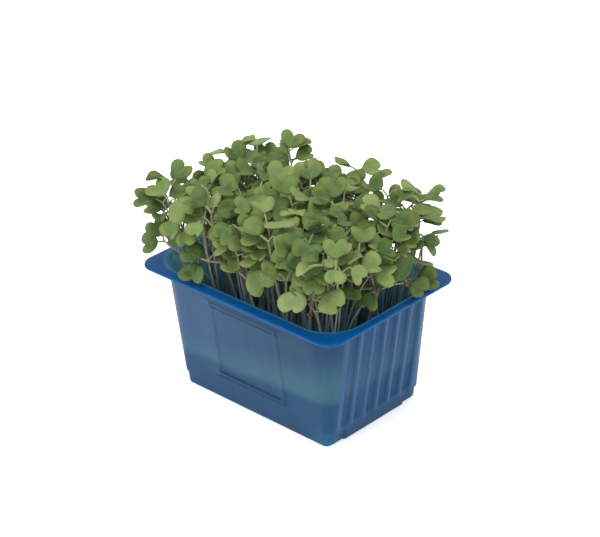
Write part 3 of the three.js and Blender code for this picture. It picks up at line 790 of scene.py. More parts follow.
def lofted(name, rings):
    """A closed skin: a filled circle extruded once for each ring, then set out along the rings."""
    count = len(rings[0])
    deselect()
    bpy.ops.mesh.primitive_circle_add(vertices=count, radius=1, fill_type="NGON")
    piece = bpy.context.object
    piece.name = piece.data.name = name
    bpy.ops.object.mode_set(mode="EDIT")
    bpy.ops.mesh.select_all(action="SELECT")
    for _ in rings[1:]:
        bpy.ops.mesh.extrude_region_move(TRANSFORM_OT_translate={"value": (0, 0, 1)})
    bpy.ops.object.mode_set(mode="OBJECT")
    raw = coordinates(piece.data)
    level = np.rint(raw[:, 2]).astype(int)
    station = np.rint(np.arctan2(raw[:, 1], raw[:, 0]) * count / (2 * math.pi)).astype(int) % count
    place_vertices(piece.data, np.array(rings)[level, station])
    return piece, level


def smooth_by_angle(piece, degrees):
    activate(piece)
    bpy.ops.object.shade_smooth_by_angle(angle=math.radians(degrees))


def joined(name, parts):
    """One piece made of parts that all have their own mesh."""
    deselect()
    for part in parts:
        part.select_set(True)
    bpy.context.view_layer.objects.active = parts[0]
    bpy.ops.object.join()
    piece = bpy.context.object
    piece.name = piece.data.name = name
    return piece


def copy_of(pattern):
    """An object with its own copy of a pattern's mesh."""
    mesh = pattern.data.copy()
    piece = bpy.data.objects.new(mesh.name, mesh)
    bpy.context.collection.objects.link(piece)
    return piece


def remove(pattern):
    mesh = pattern.data
    bpy.data.objects.remove(pattern)
    bpy.data.meshes.remove(mesh)


# Materials
class Term:
    """A number in a material: arithmetic on it becomes the nodes that work it out."""

    def __init__(self, look, socket):
        self.look = look
        self.socket = socket

    def __add__(self, other):
        return self.look.maths("ADD", self, other)

    def __sub__(self, other):
        return self.look.maths("SUBTRACT", self, other)

    def __rsub__(self, other):
        return self.look.maths("SUBTRACT", other, self)

    def __mul__(self, other):
        return self.look.maths("MULTIPLY", self, other)

    __radd__ = __add__
    __rmul__ = __mul__

    def __abs__(self):
        return self.look.maths("ABSOLUTE", self)


class Look:
    """A material, with one way of making each of its nodes."""

    def __init__(self, name, **shader):
        self.material = bpy.data.materials.new(name)
        self.material.use_nodes = True
        self.tree = self.material.node_tree
        self.shader = self.tree.nodes["Principled BSDF"]
        for socket, value in shader.items():
            self.feed(self.shader.inputs[socket.replace("_", " ")], value)
        self.place = self.node("ShaderNodeTexCoord").outputs["Object"]

    def feed(self, socket, value):
        if isinstance(value, Term):
            value = value.socket
        if isinstance(value, bpy.types.NodeSocket):
            self.tree.links.new(value, socket)
        else:
            socket.default_value = value

    def node(self, kind, settings=None, sockets=None):
        made = self.tree.nodes.new(kind)
        for key, value in (settings or {}).items():
            setattr(made, key, value)
        for key, value in (sockets or {}).items():
            self.feed(made.inputs[key], value)
        return made

    def maths(self, operation, *values):
        made = self.node("ShaderNodeMath", {"operation": operation}, dict(enumerate(values)))
        return Term(self, made.outputs[0])

    def split(self, vector):
        """The three parts of a place, in millimetres."""
        parts = self.node("ShaderNodeSeparateXYZ", sockets={0: vector})
        return [Term(self, parts.outputs[axis]) * (1 / MM) for axis in range(3)]

    def kept(self, name):
        """A number painted on the mesh."""
        return Term(self, self.node("ShaderNodeAttribute", {"attribute_name": name}).outputs["Fac"])

    def step(self, value, low, high):
        """0 where the value is under low, 1 over high and soft between."""
        sockets = {"Value": value, "From Min": low, "From Max": high}
        made = self.node("ShaderNodeMapRange", {"interpolation_type": "SMOOTHSTEP"}, sockets)
        return Term(self, made.outputs["Result"])

    def line_at(self, value, middle, half, soft):
        """1 within half of the middle, and down to 0 over a soft edge."""
        return 1 - self.step(abs(value - middle), half, half + soft)

    def stretched(self, factors):
        return self.node("ShaderNodeMapping", sockets={"Vector": self.place, "Scale": factors}).outputs[0]

    def noise(self, size, detail=2.0, vector=None, rough=0.5):
        """Cloudy numbers round 0.5, with patches of about a size in millimetres."""
        sockets = {"Vector": vector or self.place, "Scale": 1 / (size * MM)}
        sockets |= {"Detail": detail, "Roughness": rough}
        return Term(self, self.node("ShaderNodeTexNoise", sockets=sockets).outputs["Fac"])

    def mix(self, share, one, other):
        return self.node("ShaderNodeMix", {"data_type": "RGBA"}, {0: share, 6: one, 7: other}).outputs[2]

    def scaled(self, colour, factor):
        """A colour made brighter or darker."""
        sockets = {0: colour, "Scale": factor}
        return self.node("ShaderNodeVectorMath", {"operation": "SCALE"}, sockets).outputs[0]

    def bump(self, height, distance, strength=1.0):
        """Feeds the normal with a height whose whole range is a distance in millimetres."""
        sockets = {"Height": height, "Distance": distance * MM, "Strength": strength}
        self.feed(self.shader.inputs["Normal"], self.node("ShaderNodeBump", sockets=sockets).outputs[0])

    def colour(self, value):
        self.feed(self.shader.inputs["Base Color"], value)

    def roughness(self, value):
        self.feed(self.shader.inputs["Roughness"], value)


# What a user would change
def length(name, description, default):
    """A size whose default is in millimetres."""
    return FloatProperty(name=name, description=description, default=default * MM, unit="LENGTH", precision=5)


def angle(name, description, default):
    """An angle whose default is in degrees."""
    return FloatProperty(name=name, description=description, default=math.radians(default), subtype="ANGLE")


def amount(name, description, default, unit="NONE"):
    return FloatProperty(name=name, description=description, default=default, unit=unit)


def tint(name, description, default):
    return FloatVectorProperty(
        name=name, description=description, default=(*default, 1.0), size=4, subtype="COLOR", min=0.0, max=1.0
    )


class TubSettings(PropertyGroup):
    wall: tint("Wall", "Steel blue of the walls", (0.027, 0.072, 0.150))
    wall_near: tint("Wall by the ribs", "Greyer blue of the walls by the ribbed side", (0.019, 0.055, 0.112))
    # Painted shade: darker blue where the pad behind the wall keeps light from coming through
    wall_low: tint("Lower wall", "Blue of the walls in front of the growing pad", (0.013, 0.055, 0.124))
    # Painted light: teal of the light that comes through the walls above the growing pad
    lit_band: tint("Band", "Light teal that shows through the walls above the growing pad", (0.038, 0.115, 0.158))
    glint: tint("Corner glint", "Teal at the foot of the front corner", (0.012, 0.130, 0.240))
    flange: tint("Flange", "Deep blue of the flange", (0.0005, 0.064, 0.215))
    # Painted sheen: the flange's ears paler, as though they mirrored the white surroundings
    ear_sheen: tint("Flange ears", "Paler blue of the flange where it widens at the corners", (0.008, 0.074, 0.222))
    # Painted highlight: the flange's outer edge lighter, as though it caught the light
    edge: tint("Flange edge", "Light blue of the flange's outer edge", (0.004, 0.082, 0.260))
    # Painted highlight on the narrow ridges and painted shade in the hollows between them
    ridge: tint("Ridges", "Light blue of the narrow ridges", (0.031, 0.092, 0.196))
    hollow: tint("Hollows", "Dark blue of the hollows between the ridges", (0.009, 0.047, 0.124))
    # Painted light: the inside brighter, as though lit through the walls
    inside: tint("Inside", "Bright blue of the inside", (0.090, 0.360, 0.520))
    glow: tint("Glow", "Light that comes through the walls to their inside", (0.016, 0.056, 0.074))
    # Painted shade: dark lines under the frame's bars
    line: tint("Frame lines", "Dark lines along the frame's bars", (0.003, 0.014, 0.045))
    frame_proud: length("Frame height", "How far the frame on each long side stands out", 0.5)


class PadSettings(PropertyGroup):
    fibre_light: tint("Light fibre", "Lightest fibres", (0.30, 0.19, 0.10))
    fibre_dark: tint("Dark fibre", "Darkest fibres", (0.045, 0.027, 0.015))
    swell: length("Unevenness", "How far the top rises and falls", 0.7)


class SeedlingSettings(PropertyGroup):
    leaf_deep: tint("Deep leaf", "Darkest green of the blades", (0.052, 0.090, 0.021))
    leaf_mid: tint("Leaf", "Usual green of the blades", (0.146, 0.208, 0.055))
    leaf_light: tint("Light leaf", "Lightest green of the blades", (0.222, 0.292, 0.106))
    leaf_bloom: tint("Bloom", "Bluish green of the waxy middle of a blade", (0.110, 0.185, 0.085))
    leaf_rim: tint("Leaf rim", "Yellower green along the edge of a blade", (0.240, 0.290, 0.080))
    leaf_yellow: tint("Yellow leaf", "Yellowish green of the palest blades", (0.275, 0.320, 0.135))
    underside: tint("Underside", "Paler, bluish green under the blades", (0.130, 0.190, 0.075))
    vein: tint("Vein", "Pale green of the veins", (0.230, 0.300, 0.110))
    stem_high: tint("Upper stem", "Pale beige of the stems under the leaves", (0.262, 0.252, 0.175))
    # Painted shade and blue light of the tub on the stems inside it
    stem_shaded_in_tub: tint("Lower stem", "Bluish grey of the stems inside the tub", (0.085, 0.138, 0.160))
    blush: tint("Blush", "Pink tinge that some stems have", (0.240, 0.165, 0.145))
    seed_coat: tint("Seed coat", "Orange brown of the seed coats", (0.300, 0.110, 0.030))
    seed_coat_dark: tint("Dark seed coat", "Darkest brown of the seed coats", (0.110, 0.040, 0.015))
    blade_thickness: length("Blade thickness", "Thickness of a seed leaf", 0.36)
    stem_radius: length("Stem radius", "Radius of a stem at its foot", 0.45)
    fillers: IntProperty(name="Fillers", description="Filler seedlings tried", default=420, min=0)
    seed: IntProperty(name="Seed", description="Which draw of filler seedlings is grown", default=SEED + 3)


class StageSettings(PropertyGroup):
    floor: tint("Floor", "Pale floor", (0.93, 0.93, 0.93))
    floor_dark: tint("Darker floor", "What the floor turns to, a very little, in patches", (0.9, 0.9, 0.9))
    floor_glow: amount("Floor glow", "How much the lit floor shines of itself", 0.35)
    world_strength: amount("World", "Brightness of the white surroundings", 1.1)
    key_power: amount("Key light", "Power of the soft key light", 9.0, "POWER")
    camera_turn: angle("Turn", "Camera's turn round the tub", 44.603)
    camera_rise: angle("Rise", "Camera's rise over the tub", 28.016)
    camera_roll: angle("Roll", "Camera's roll", -2.19)
    camera_distance: length("Distance", "From the camera to what it aims at", 770.0)
    camera_lens: amount("Lens", "Focal length", 123.38, "CAMERA")


class CressSettings(PropertyGroup):
    tub: PointerProperty(type=TubSettings)
    pad: PointerProperty(type=PadSettings)
    seedlings: PointerProperty(type=SeedlingSettings)
    stage: PointerProperty(type=StageSettings)


# Tub
def short_stations():
    """Places across a short side, close together where the ridges turn."""
    offsets = (RIDGE_HALF - RIDGE_SOFT, RIDGE_HALF, RIDGE_HALF + RIDGE_SOFT, RIDGE_HALF + RIDGE_FLANK)
    ridges = [number * RIDGE_PITCH for number in range(-RIDGES_EACH_SIDE, RIDGES_EACH_SIDE + 1)]
    turns = [ridge + sign * offset for ridge in ridges for offset in offsets for sign in (-1, 1)]
    middles = [ridge + RIDGE_PITCH / 2 for ridge in ridges[:-1]]
    feet = [sign * (FOOT_HALF_Y + step) for step in (0, RIDGE_SOFT) for sign in (-1, 1)]
    return np.unique(np.round([-FLUTED_HALF_Y, FLUTED_HALF_Y, *turns, *middles, *feet], 3))


def frame_turns(inner, outer):
    """Places on both sides of the two edges of the raised frame, and where its flat parts begin."""
    steps = (-FRAME_SLOPE / 2, -FRAME_SOFT / 2, FRAME_SOFT / 2, FRAME_SLOPE / 2)
    return [edge + step for edge in (inner, outer) for step in steps]


SHORT = short_stations()
LONG_HALF = sorted([*frame_turns(FRAME_HALF_WIDTH - FRAME_BAND, FRAME_HALF_WIDTH), *LONG_OUTER])
LONG = np.array([*reversed(LONG_HALF), *LONG_MIDDLES, *[-x for x in LONG_HALF]])
CORNER = np.arange(1, CORNER_STEPS + 1) / CORNER_STEPS


def frame_share(x, z):
    """1 on the level bars of a long side's raised frame, less on its uprights and 0 off it.
    Only the lower edges of the level bars are crisp."""
    def inside(half_width, low, high, low_slope, high_slope):
        across = smooth(-FRAME_SLOPE / 2, FRAME_SLOPE / 2, half_width - np.abs(x))
        over = smooth(-low_slope / 2, low_slope / 2, z - low)
        return across * over * smooth(-high_slope / 2, high_slope / 2, high - z)

    inner_half = FRAME_HALF_WIDTH - FRAME_BAND
    inner_low, inner_high = FRAME_LOW_Z + FRAME_BAND, FRAME_HIGH_Z - FRAME_BAND
    outer = inside(FRAME_HALF_WIDTH, FRAME_LOW_Z, FRAME_HIGH_Z, FRAME_SOFT, FRAME_SLOPE)
    inner = inside(inner_half, inner_low, inner_high, FRAME_SLOPE, FRAME_SOFT)
    between = inside(2 * FRAME_HALF_WIDTH, inner_low, inner_high, FRAME_SLOPE, FRAME_SOFT)
    return outer * (1 - between + UPRIGHT_SHARE * (between - inner))


def frame_shade_lines(x, z):
    """How dark the painted shade lines along the frame's edges are: darkest under its two level bars."""
    def near(value, edge):
        return np.abs(value - edge) < LINE_HALF

    outer, inner = FRAME_HALF_WIDTH, FRAME_HALF_WIDTH - FRAME_BAND
    low, high = FRAME_LOW_Z - FRAME_SOFT, FRAME_HIGH_Z + FRAME_SOFT
    upright = ((near(x, outer) & (z > low)) | (near(x, inner) & (z > low + FRAME_BAND))) & (z < high)
    dark = (near(z, FRAME_LOW_Z) | near(z, FRAME_HIGH_Z - FRAME_BAND)) & (x < outer)
    faint = near(z, FRAME_LOW_Z + FRAME_BAND) & (x < inner)
    return np.select([dark, faint, upright], LINE_SHADES, 0.0)


def hollow_share(y):
    """1 in a hollow between two ridges of a short side, 0 on a ridge and past the last one."""
    to_ridge = np.abs(y - RIDGE_PITCH * np.rint(y / RIDGE_PITCH))
    hollow = smooth(RIDGE_HALF - RIDGE_SOFT, RIDGE_HALF + RIDGE_FLANK, to_ridge)
    return np.where(np.abs(y) > RIDGE_PITCH * RIDGES_EACH_SIDE, 0.0, hollow)


def outline(half_x, half_y, radius, flute=0.0, foot=0.0, proud=0.0, z=0.0):
    """The tub's loop at one height, from the -Y end of the +X side round against the clock."""
    straight = half_y - radius
    end = max(FLUTED_HALF_Y, straight)
    y = SHORT * end / FLUTED_HALF_Y
    past = np.maximum(0.0, np.abs(y) - straight)
    inset = foot * FOOT_STEP * smooth(FOOT_HALF_Y, FOOT_HALF_Y + RIDGE_SOFT, np.abs(y))
    x = half_x - radius + np.sqrt(radius**2 - past**2) - inset - flute * FLUTE_DEPTH * hollow_share(SHORT)
    corner_x = half_x - radius - foot * FOOT_STEP
    turn = lerp(math.asin(max(0.0, end - straight) / radius), math.pi / 2, CORNER)
    round_x, round_y = corner_x + radius * np.cos(turn), straight + radius * np.sin(turn)
    long_y = half_y + proud * frame_share(LONG, z)
    half = np.concatenate(
        [
            np.stack([x, y], axis=1),
            np.stack([round_x, round_y], axis=1),
            np.stack([LONG, long_y], axis=1),
            np.stack([-round_x, round_y], axis=1)[::-1],
        ]
    )
    return np.concatenate([half, -half])


def wall_outline(z, grow_x=0.0, grow_y=None, **more):
    """The wall's loop at a height, grown outwards by as much as is given."""
    grow_y = grow_x if grow_y is None else grow_y
    share = 1 - z / TUB_HEIGHT
    radius = max(LEAST_RADIUS, lerp(RIM_RADIUS, BASE_RADIUS, share) + grow_y)
    half_x, half_y = RIM_HALF_X - LEAN_X * share + grow_x, RIM_HALF_Y - LEAN_Y * share + grow_y
    return outline(half_x, half_y, radius, z=z, **more)


def flange_outline(grow):
    return outline(FLANGE_HALF_X + grow, FLANGE_HALF_Y + grow, FLANGE_RADIUS + grow)


def flute_at(z):
    """How deep the flutes are at a height, as a share of their depth."""
    return float(smooth(FLUTE_FOOT_Z, FLUTE_FULL_LOW_Z, z) * (1 - smooth(FLUTE_FULL_HIGH_Z, FLUTE_HEAD_Z, z)))


def foot_at(z):
    """How far the step of the foot is in at a height, as a share."""
    return float(1 - smooth(FOOT_HEIGHT, FLUTE_FOOT_Z, z))


def tub_rings(proud):
    """The tub's skin from the middle of its underside to its floor, with what each ring is part of."""
    frame_levels = frame_turns(FRAME_LOW_Z, FRAME_LOW_Z + FRAME_BAND)
    frame_levels += frame_turns(FRAME_HIGH_Z - FRAME_BAND, FRAME_HIGH_Z)
    plain_levels = [*FOOT_LEVELS, *WALL_LEVELS, *HEAD_LEVELS]
    rings = []

    def add(part, z, loop):
        rings.append((part, np.column_stack([loop, np.full(len(loop), z)])))

    for turn in np.linspace(0, math.pi / 2, FOOT_TURNS):
        z = FOOT_EDGE * (1 - math.cos(turn))
        add("wall", z, wall_outline(z, FOOT_EDGE * (math.sin(turn) - 1), foot=1.0))
    for z in sorted([*frame_levels, *plain_levels]):
        add("wall", z, wall_outline(z, flute=flute_at(z), foot=foot_at(z), proud=proud))
    for z, grow in WALL_TO_FLANGE:
        add("under", z, wall_outline(z, grow))
    for part, loops in (("under", FLANGE_UNDER), ("edge", FLANGE_EDGE), ("flange", FLANGE_ROUND)):
        for z, grow in loops:
            add(part, z, flange_outline(grow))
    outer, inner = flange_outline(FLANGE_ROUND[-1][1]), wall_outline(TUB_HEIGHT, MOUTH_LOOPS[0][1])
    for share in FLANGE_TOP_SHARES:
        add("flange", lerp(*FLANGE_TOP_Z, share), lerp(outer, inner, share))
    for z, grow in MOUTH_LOOPS:
        add("mouth", z, wall_outline(z, grow))
    for z in [INSIDE_TOP_Z, *reversed(plain_levels[:-1])]:
        add("inside", z, wall_outline(z, -WALL, flute=flute_at(z), foot=foot_at(z)))
    add("inside", FLOOR_Z, wall_outline(FLOOR_Z, -WALL, foot=1.0))
    return rings


def tub_look(tub):
    look = Look("tub_plastic", Roughness=0.34, Specular_IOR_Level=0.1, Emission_Strength=1.0)
    x, y, z = look.split(look.place)
    clouds = look.noise(CLOUD_SIZE, 3, rough=0.55)
    fine = look.noise(3.2, 4, rough=0.6)
    streaks = look.noise(4.0, 3, look.stretched((1, 1, 0.12)))
    # Painted shade on the walls in front of the pad, where it keeps light from coming through
    pad_edge = PAD_EDGE_Z + x * PAD_EDGE_RISE + (clouds - 0.5) * PAD_EDGE_SWAY
    # Painted light through the walls: the teal band above the pad, and more of it in the hollows
    band_top = BAND_Z + x * BAND_RISE + (clouds - 0.5) * BAND_SWAY
    over_pad = look.step(z - pad_edge, *PAD_EDGE_FADE)
    in_lit_band = over_pad * (1 - look.step(z - band_top, *BAND_FADE))
    near_ribs = look.step(x + (clouds - 0.5) * NEAR_RIBS_SWAY, *NEAR_RIBS_X)
    colour = look.mix(over_pad, tub.wall_low, look.mix(near_ribs, tub.wall, tub.wall_near))
    colour = look.mix(in_lit_band * BAND_SHARE, colour, tub.lit_band)
    on_short = look.step(abs(x) - abs(y) * RIBBED_X_PER_Y, *RIBBED_X) * (1 - look.step(abs(y), *RIBBED_Y))
    in_flutes = on_short * look.step(z, *RIBBED_LOW_Z) * (1 - look.step(z, *RIBBED_HIGH_Z))
    # Painted highlight on the ridges of the short sides and painted shade in their hollows
    hollow = look.kept("hollow")
    colour = look.mix(in_flutes * RIBBED_SHARE, colour, look.mix(hollow, tub.ridge, tub.hollow))
    colour = look.mix(in_lit_band * on_short * hollow * BAND_IN_HOLLOWS, colour, tub.lit_band)
    by_corner = look.step(x, *GLINT_X) * (1 - look.step(z, *GLINT_Z)) * (1 - look.step(y, *GLINT_Y))
    colour = look.mix(by_corner * GLINT_SHARE, colour, tub.glint)
    # Painted light on the inside, as though it were lit through the walls
    colour = look.mix(look.kept("inside"), colour, tub.inside)
    colour = look.scaled(colour, 0.82 + streaks * 0.24 + clouds * 0.12)
    # Painted sheen on the ears of the flange
    ear_sheen = look.step(abs(x), *EAR_X) * look.step(x * y, *EAR_CORNERS)
    ear_sheen = ear_sheen * (EAR_LEFT + look.step(x, *EAR_SIDES) * EAR_MORE_RIGHT)
    colour = look.mix(look.kept("flange"), colour, look.mix(ear_sheen, tub.flange, tub.ear_sheen))
    # Painted highlight along the flange's outer edge
    colour = look.mix(look.kept("edge") * EDGE_HIGHLIGHT_SHARE, colour, tub.edge)
    # Painted shade lines along the frame's bars
    look.colour(look.mix(look.kept("line"), colour, tub.line))
    glow = look.kept("inside") * look.step(z, *GLOW_Z)
    look.feed(look.shader.inputs["Emission Color"], look.mix(glow, (0, 0, 0, 1), tub.glow))
    look.roughness(0.30 + fine * 0.12 + clouds * 0.06)
    look.bump(clouds * 0.55 + fine * 0.06, 0.8, 0.35)
    return look.material


class CRESS_OT_make_tub(Operator):
    """Tub: thin walls, fluted short sides, a raised frame on each long side and a rounded flange"""

    bl_idname = "cress.make_tub"
    bl_label = "Make tub"

    def execute(self, context):
        tub = context.scene.cress.tub
        made = tub_rings(tub.frame_proud / MM)
        piece, level = lofted("tub_shell", [ring for _, ring in made])
        parts = np.array([part for part, _ in made])[level]
        x, y, z = (coordinates(piece.data) / MM).T
        on_short = np.abs(x) > np.abs(y) + SHORT_SIDE_MARGIN
        flutes = np.array([flute_at(height) for height in z])
        paint(piece.data, "hollow", np.where(on_short, hollow_share(y) * flutes, 0.0))
        paint(piece.data, "inside", np.isin(parts, ["inside", "mouth"]))
        paint(piece.data, "flange", np.isin(parts, ["flange", "under", "edge", "mouth"]))
        paint(piece.data, "edge", parts == "edge")
        # Painted shade lines along the frame, on the long walls
        on_long = (parts == "wall") & (np.abs(y) > LINE_LEAST_Y) & (np.abs(x) < LINE_REACH_X)
        paint(piece.data, "line", np.where(on_long, frame_shade_lines(np.abs(x), z), 0.0))
        piece.data.materials.append(tub_look(tub))
        smooth_by_angle(piece, TUB_SMOOTH_ANGLE)
        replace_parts(piece, "tub")
        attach(piece, "root")
        return {"FINISHED"}


# Growing pad
def pad_look(pad):
    look = Look("pad_fibre", Specular_IOR_Level=0.15)
    fibres = look.noise(0.9, 6, look.stretched((1, 2.4, 1.6)), rough=0.7)
    threads = look.noise(0.6, 5, look.stretched((2.6, 0.8, 1.2)), rough=0.7)
    damp = look.noise(14, 3)
    share = look.step(fibres * 0.6 + threads * 0.5 - damp * 0.12, 0.32, 0.68)
    look.colour(look.mix(share, pad.fibre_dark, pad.fibre_light))
    look.roughness(0.8 + threads * 0.15)
    look.bump(fibres * 0.6 + threads * 0.4, 0.7)
    return look.material


class CRESS_OT_make_pad(Operator):
    """Growing pad: a fibre block whose sides follow the tub and whose top is uneven"""

    bl_idname = "cress.make_pad"
    bl_label = "Make growing pad"

    def execute(self, context):
        pad = context.scene.cress.pad
        swell = pad.swell / MM
        inward = {"grow_x": -WALL - FLUTE_DEPTH - PAD_CLEAR, "grow_y": -WALL - PAD_CLEAR}
        draws = Draws(SEED + 5)
        rings = []
        for z in PAD_LEVELS:
            loop = wall_outline(z, foot=foot_at(z), **inward)[::PAD_POINT_STEP]
            rings.append(np.column_stack([loop, np.full(len(loop), z)]))
        rim = wall_outline(PAD_TOP_Z, **inward)[::PAD_POINT_STEP]
        for share in PAD_TOP_SHARES:
            lift = [draws.one() for _ in rim]
            crown = PAD_TOP_Z - swell * (1.0 if share < PAD_RIM_SHARE else PAD_RIM_DROP)
            rings.append(np.column_stack([rim * share, crown + swell * np.array(lift)]))
        piece, _ = lofted("fibre_pad", rings)
        piece.data.materials.append(pad_look(pad))
        smooth_by_angle(piece, PAD_SMOOTH_ANGLE)
        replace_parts(piece, "growing_pad")
        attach(piece, "root")
        return {"FINISHED"}


# Seedlings
def blade_outline():
    """The edge of a blade from its foot over one lobe to the notch and back, as shares of its width."""
    foot, notch = [[BLADE_FOOT, 0.0]], [[BLADE_NOTCH, 0.0]]
    return np.concatenate([foot, BLADE_LOBE, notch, BLADE_LOBE[::-1] * [1, -1]])


def blade_pattern():
    """A heart-shaped blade: a filled circle with one more ring round it, set to the outline and thickened.
    Along the blade is X and across it Y, both as shares of its width; its faces are at half a unit of Z."""
    edge = blade_outline()
    count = len(edge)
    deselect()
    bpy.ops.mesh.primitive_circle_add(vertices=count, radius=1, fill_type="TRIFAN")
    pattern = bpy.context.object
    pattern.name = pattern.data.name = "blade"
    bpy.ops.object.mode_set(mode="EDIT")
    bpy.ops.mesh.select_mode(type="EDGE")
    bpy.ops.mesh.select_all(action="DESELECT")
    bpy.ops.mesh.select_non_manifold()
    bpy.ops.mesh.extrude_edges_move()
    bpy.ops.transform.resize(value=(2, 2, 1))
    bpy.ops.object.mode_set(mode="OBJECT")
    raw = coordinates(pattern.data)
    away = np.linalg.norm(raw[:, :2], axis=1)
    station = np.rint(np.arctan2(raw[:, 1], raw[:, 0]) * count / (2 * math.pi)).astype(int) % count
    hub = np.array([BLADE_HUB, 0.0])
    share = np.choose(np.rint(away).astype(int), BLADE_RING_SHARES)
    flat = hub + (edge[station] - hub) * share[:, None]
    pattern.data.vertices.foreach_set("co", np.column_stack([flat, np.zeros(len(flat))]).ravel())
    pattern.data.update()
    activate(pattern)
    bpy.ops.object.mode_set(mode="EDIT")
    bpy.ops.mesh.select_all(action="SELECT")
    bpy.ops.mesh.normals_make_consistent(inside=False)
    bpy.ops.object.mode_set(mode="OBJECT")
    if pattern.data.polygons[0].normal.z < 0:
        pattern.data.flip_normals()
    bpy.ops.object.modifier_add(type="SOLIDIFY")
    solidify = pattern.modifiers[-1]
    solidify.thickness = 1.0
    solidify.offset = 0.0
    solidify.material_offset = 1
    solidify.material_offset_rim = 0
    for _ in range(2):
        pattern.data.materials.append(None)
    bpy.ops.object.modifier_apply(modifier=solidify.name)
    pattern.data.shade_smooth()
    places = coordinates(pattern.data)
    corners = np.empty(len(pattern.data.loops), dtype=int)
    pattern.data.loops.foreach_get("vertex_index", corners)
    chart = pattern.data.uv_layers.get("UVMap") or pattern.data.uv_layers.new(name="UVMap")
    chart.data.foreach_set("uv", places[corners][:, :2].ravel())
    return pattern


def rod_pattern(name, steps):
    """A closed rod: Z counts its steps."""
    turns = [2 * math.pi * side / ROD_SIDES for side in range(ROD_SIDES)]
    ring = [[math.cos(turn), math.sin(turn)] for turn in turns]
    rings = [np.column_stack([ring, np.full(ROD_SIDES, float(step))]) for step in range(steps + 1)]
    pattern, _ = lofted(name, rings)
    pattern.data.materials.append(None)
    pattern.data.shade_smooth()
    chart = pattern.data.uv_layers.get("UVMap") or pattern.data.uv_layers.new(name="UVMap")
    chart.data.foreach_set("uv", np.zeros(2 * len(pattern.data.loops)))
    return pattern


def rod_places(pattern_places, centres, radii):
    """Sets a rod's rings along a line of centres, square to it."""
    steps = len(centres)
    tangents = np.gradient(centres, axis=0)
    tangents /= np.linalg.norm(tangents, axis=1)[:, None]
    side = np.cross(tangents, ROD_SIDEWAYS)
    side /= np.linalg.norm(side, axis=1)[:, None]
    up = np.cross(tangents, side)
    level = np.clip(np.rint(pattern_places[:, 2] / MM).astype(int), 0, steps - 1)
    around = pattern_places[:, :2] / MM
    reach = np.asarray(radii)[level][:, None]
    return centres[level] + reach * (around[:, :1] * side[level] + around[:, 1:] * up[level])


class Grower:
    """Makes the fine seedlings from one blade and two rods, which are modelled once."""

    def __init__(self, settings, seed):
        self.draws = Draws(seed)
        self.thickness = settings.blade_thickness / MM
        self.radius = settings.stem_radius / MM
        self.blade = blade_pattern()
        self.stem = rod_pattern("stem", STEM_PARTS)
        self.stalk = rod_pattern("stalk", STALK_PARTS)
        self.flat = {pattern: coordinates(pattern.data) for pattern in (self.blade, self.stem, self.stalk)}
        self.looks = [leaf_look(settings, False), leaf_look(settings, True), stem_look(settings)]

    def grown(self, name, seedlings):
        """One piece that holds a few seedlings."""
        parts = [part for seedling in seedlings for part in self.parts(seedling)]
        piece = joined(name, parts)
        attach(piece, "root")
        return piece

    def parts(self, seedling):
        tone = TONES.get(seedling.clump, lerp(*TONES_DRAWN, self.draws.one()))
        blush = self.draws.one()
        for leaf in seedling.leaves:
            yield self.leaf(leaf, clamp(tone + self.draws.around(TONE_SPREAD)))
            yield self.rod(self.stalk, *self.stalk_line(leaf), blush)
        shares = np.linspace(0, 1, STEM_PARTS + 1)
        start = (PAD_TOP_Z - STEM_SUNK - seedling.path[0][2]) / (seedling.path[3][2] - seedling.path[0][2])
        centres = bezier(seedling.path, lerp(start * STEM_ROOT_SHARE, 1.0, shares))
        yield self.rod(self.stem, centres, self.radius * (1 - STEM_TAPER * shares), blush)

    def stalk_line(self, leaf):
        """From the head along the stalk, then under the blade as its midrib."""
        arm = leaf.start - leaf.head
        reach = np.linalg.norm(arm)
        shares = np.linspace(0, 1, STALK_PARTS - RIB_PARTS + 1)
        leaving = leaf.head + arm * STALK_LEAVES + UP * reach * STALK_BOW
        arriving = leaf.start - leaf.along * reach * STALK_ARRIVES
        bowed = bezier([leaf.head, leaving, arriving, leaf.start], shares)
        ribs = np.linspace(0, BLADE_NOTCH * RIB_REACH * leaf.width, RIB_PARTS + 1)[1:]
        under = leaf.places(ribs, np.zeros(RIB_PARTS), -self.thickness * RIB_DEPTH)
        thick, thin = (self.radius * share for share in STALK_TAPER)
        radii = [*np.linspace(thick, thin, len(bowed)), *np.linspace(*RIB_RADII, RIB_PARTS)]
        return np.vstack([bowed, under]), radii

    def rod(self, pattern, centres, radii, blush):
        made = copy_of(pattern)
        place_vertices(made.data, rod_places(self.flat[pattern], np.asarray(centres), radii))
        paint(made.data, "tone", blush)
        made.data.materials[0] = self.looks[2]
        return made

    def leaf(self, leaf, tone):
        """A copy of the blade on its place, cupped and rippled a little by the draws."""
        made = copy_of(self.blade)
        along, side, rise = self.flat[self.blade].T
        cup = self.draws.between(*BLADE_CUPS)
        ripple = self.draws.between(*BLADE_RIPPLES)
        phase = self.draws.between(0, 2 * math.pi)
        twist = self.draws.around(BLADE_TWIST)
        from_hub = np.hypot(along - BLADE_HUB, side)
        turn = np.arctan2(side, along - BLADE_HUB)
        waves = ripple * from_hub**2 * np.sin(BLADE_WAVES * turn + phase)
        shape = cup * from_hub**2 + waves + twist * side * along
        width = leaf.width
        places = leaf.places(along * width, side * width, shape * width + rise * self.thickness)
        place_vertices(made.data, places)
        paint(made.data, "tone", tone)
        for slot in range(2):
            made.data.materials[slot] = self.looks[slot]
        return made

    def done(self):
        """Takes the patterns away."""
        for pattern in (self.blade, self.stem, self.stalk):
            remove(pattern)


def clamp(value):
    return min(1.0, max(0.0, value))


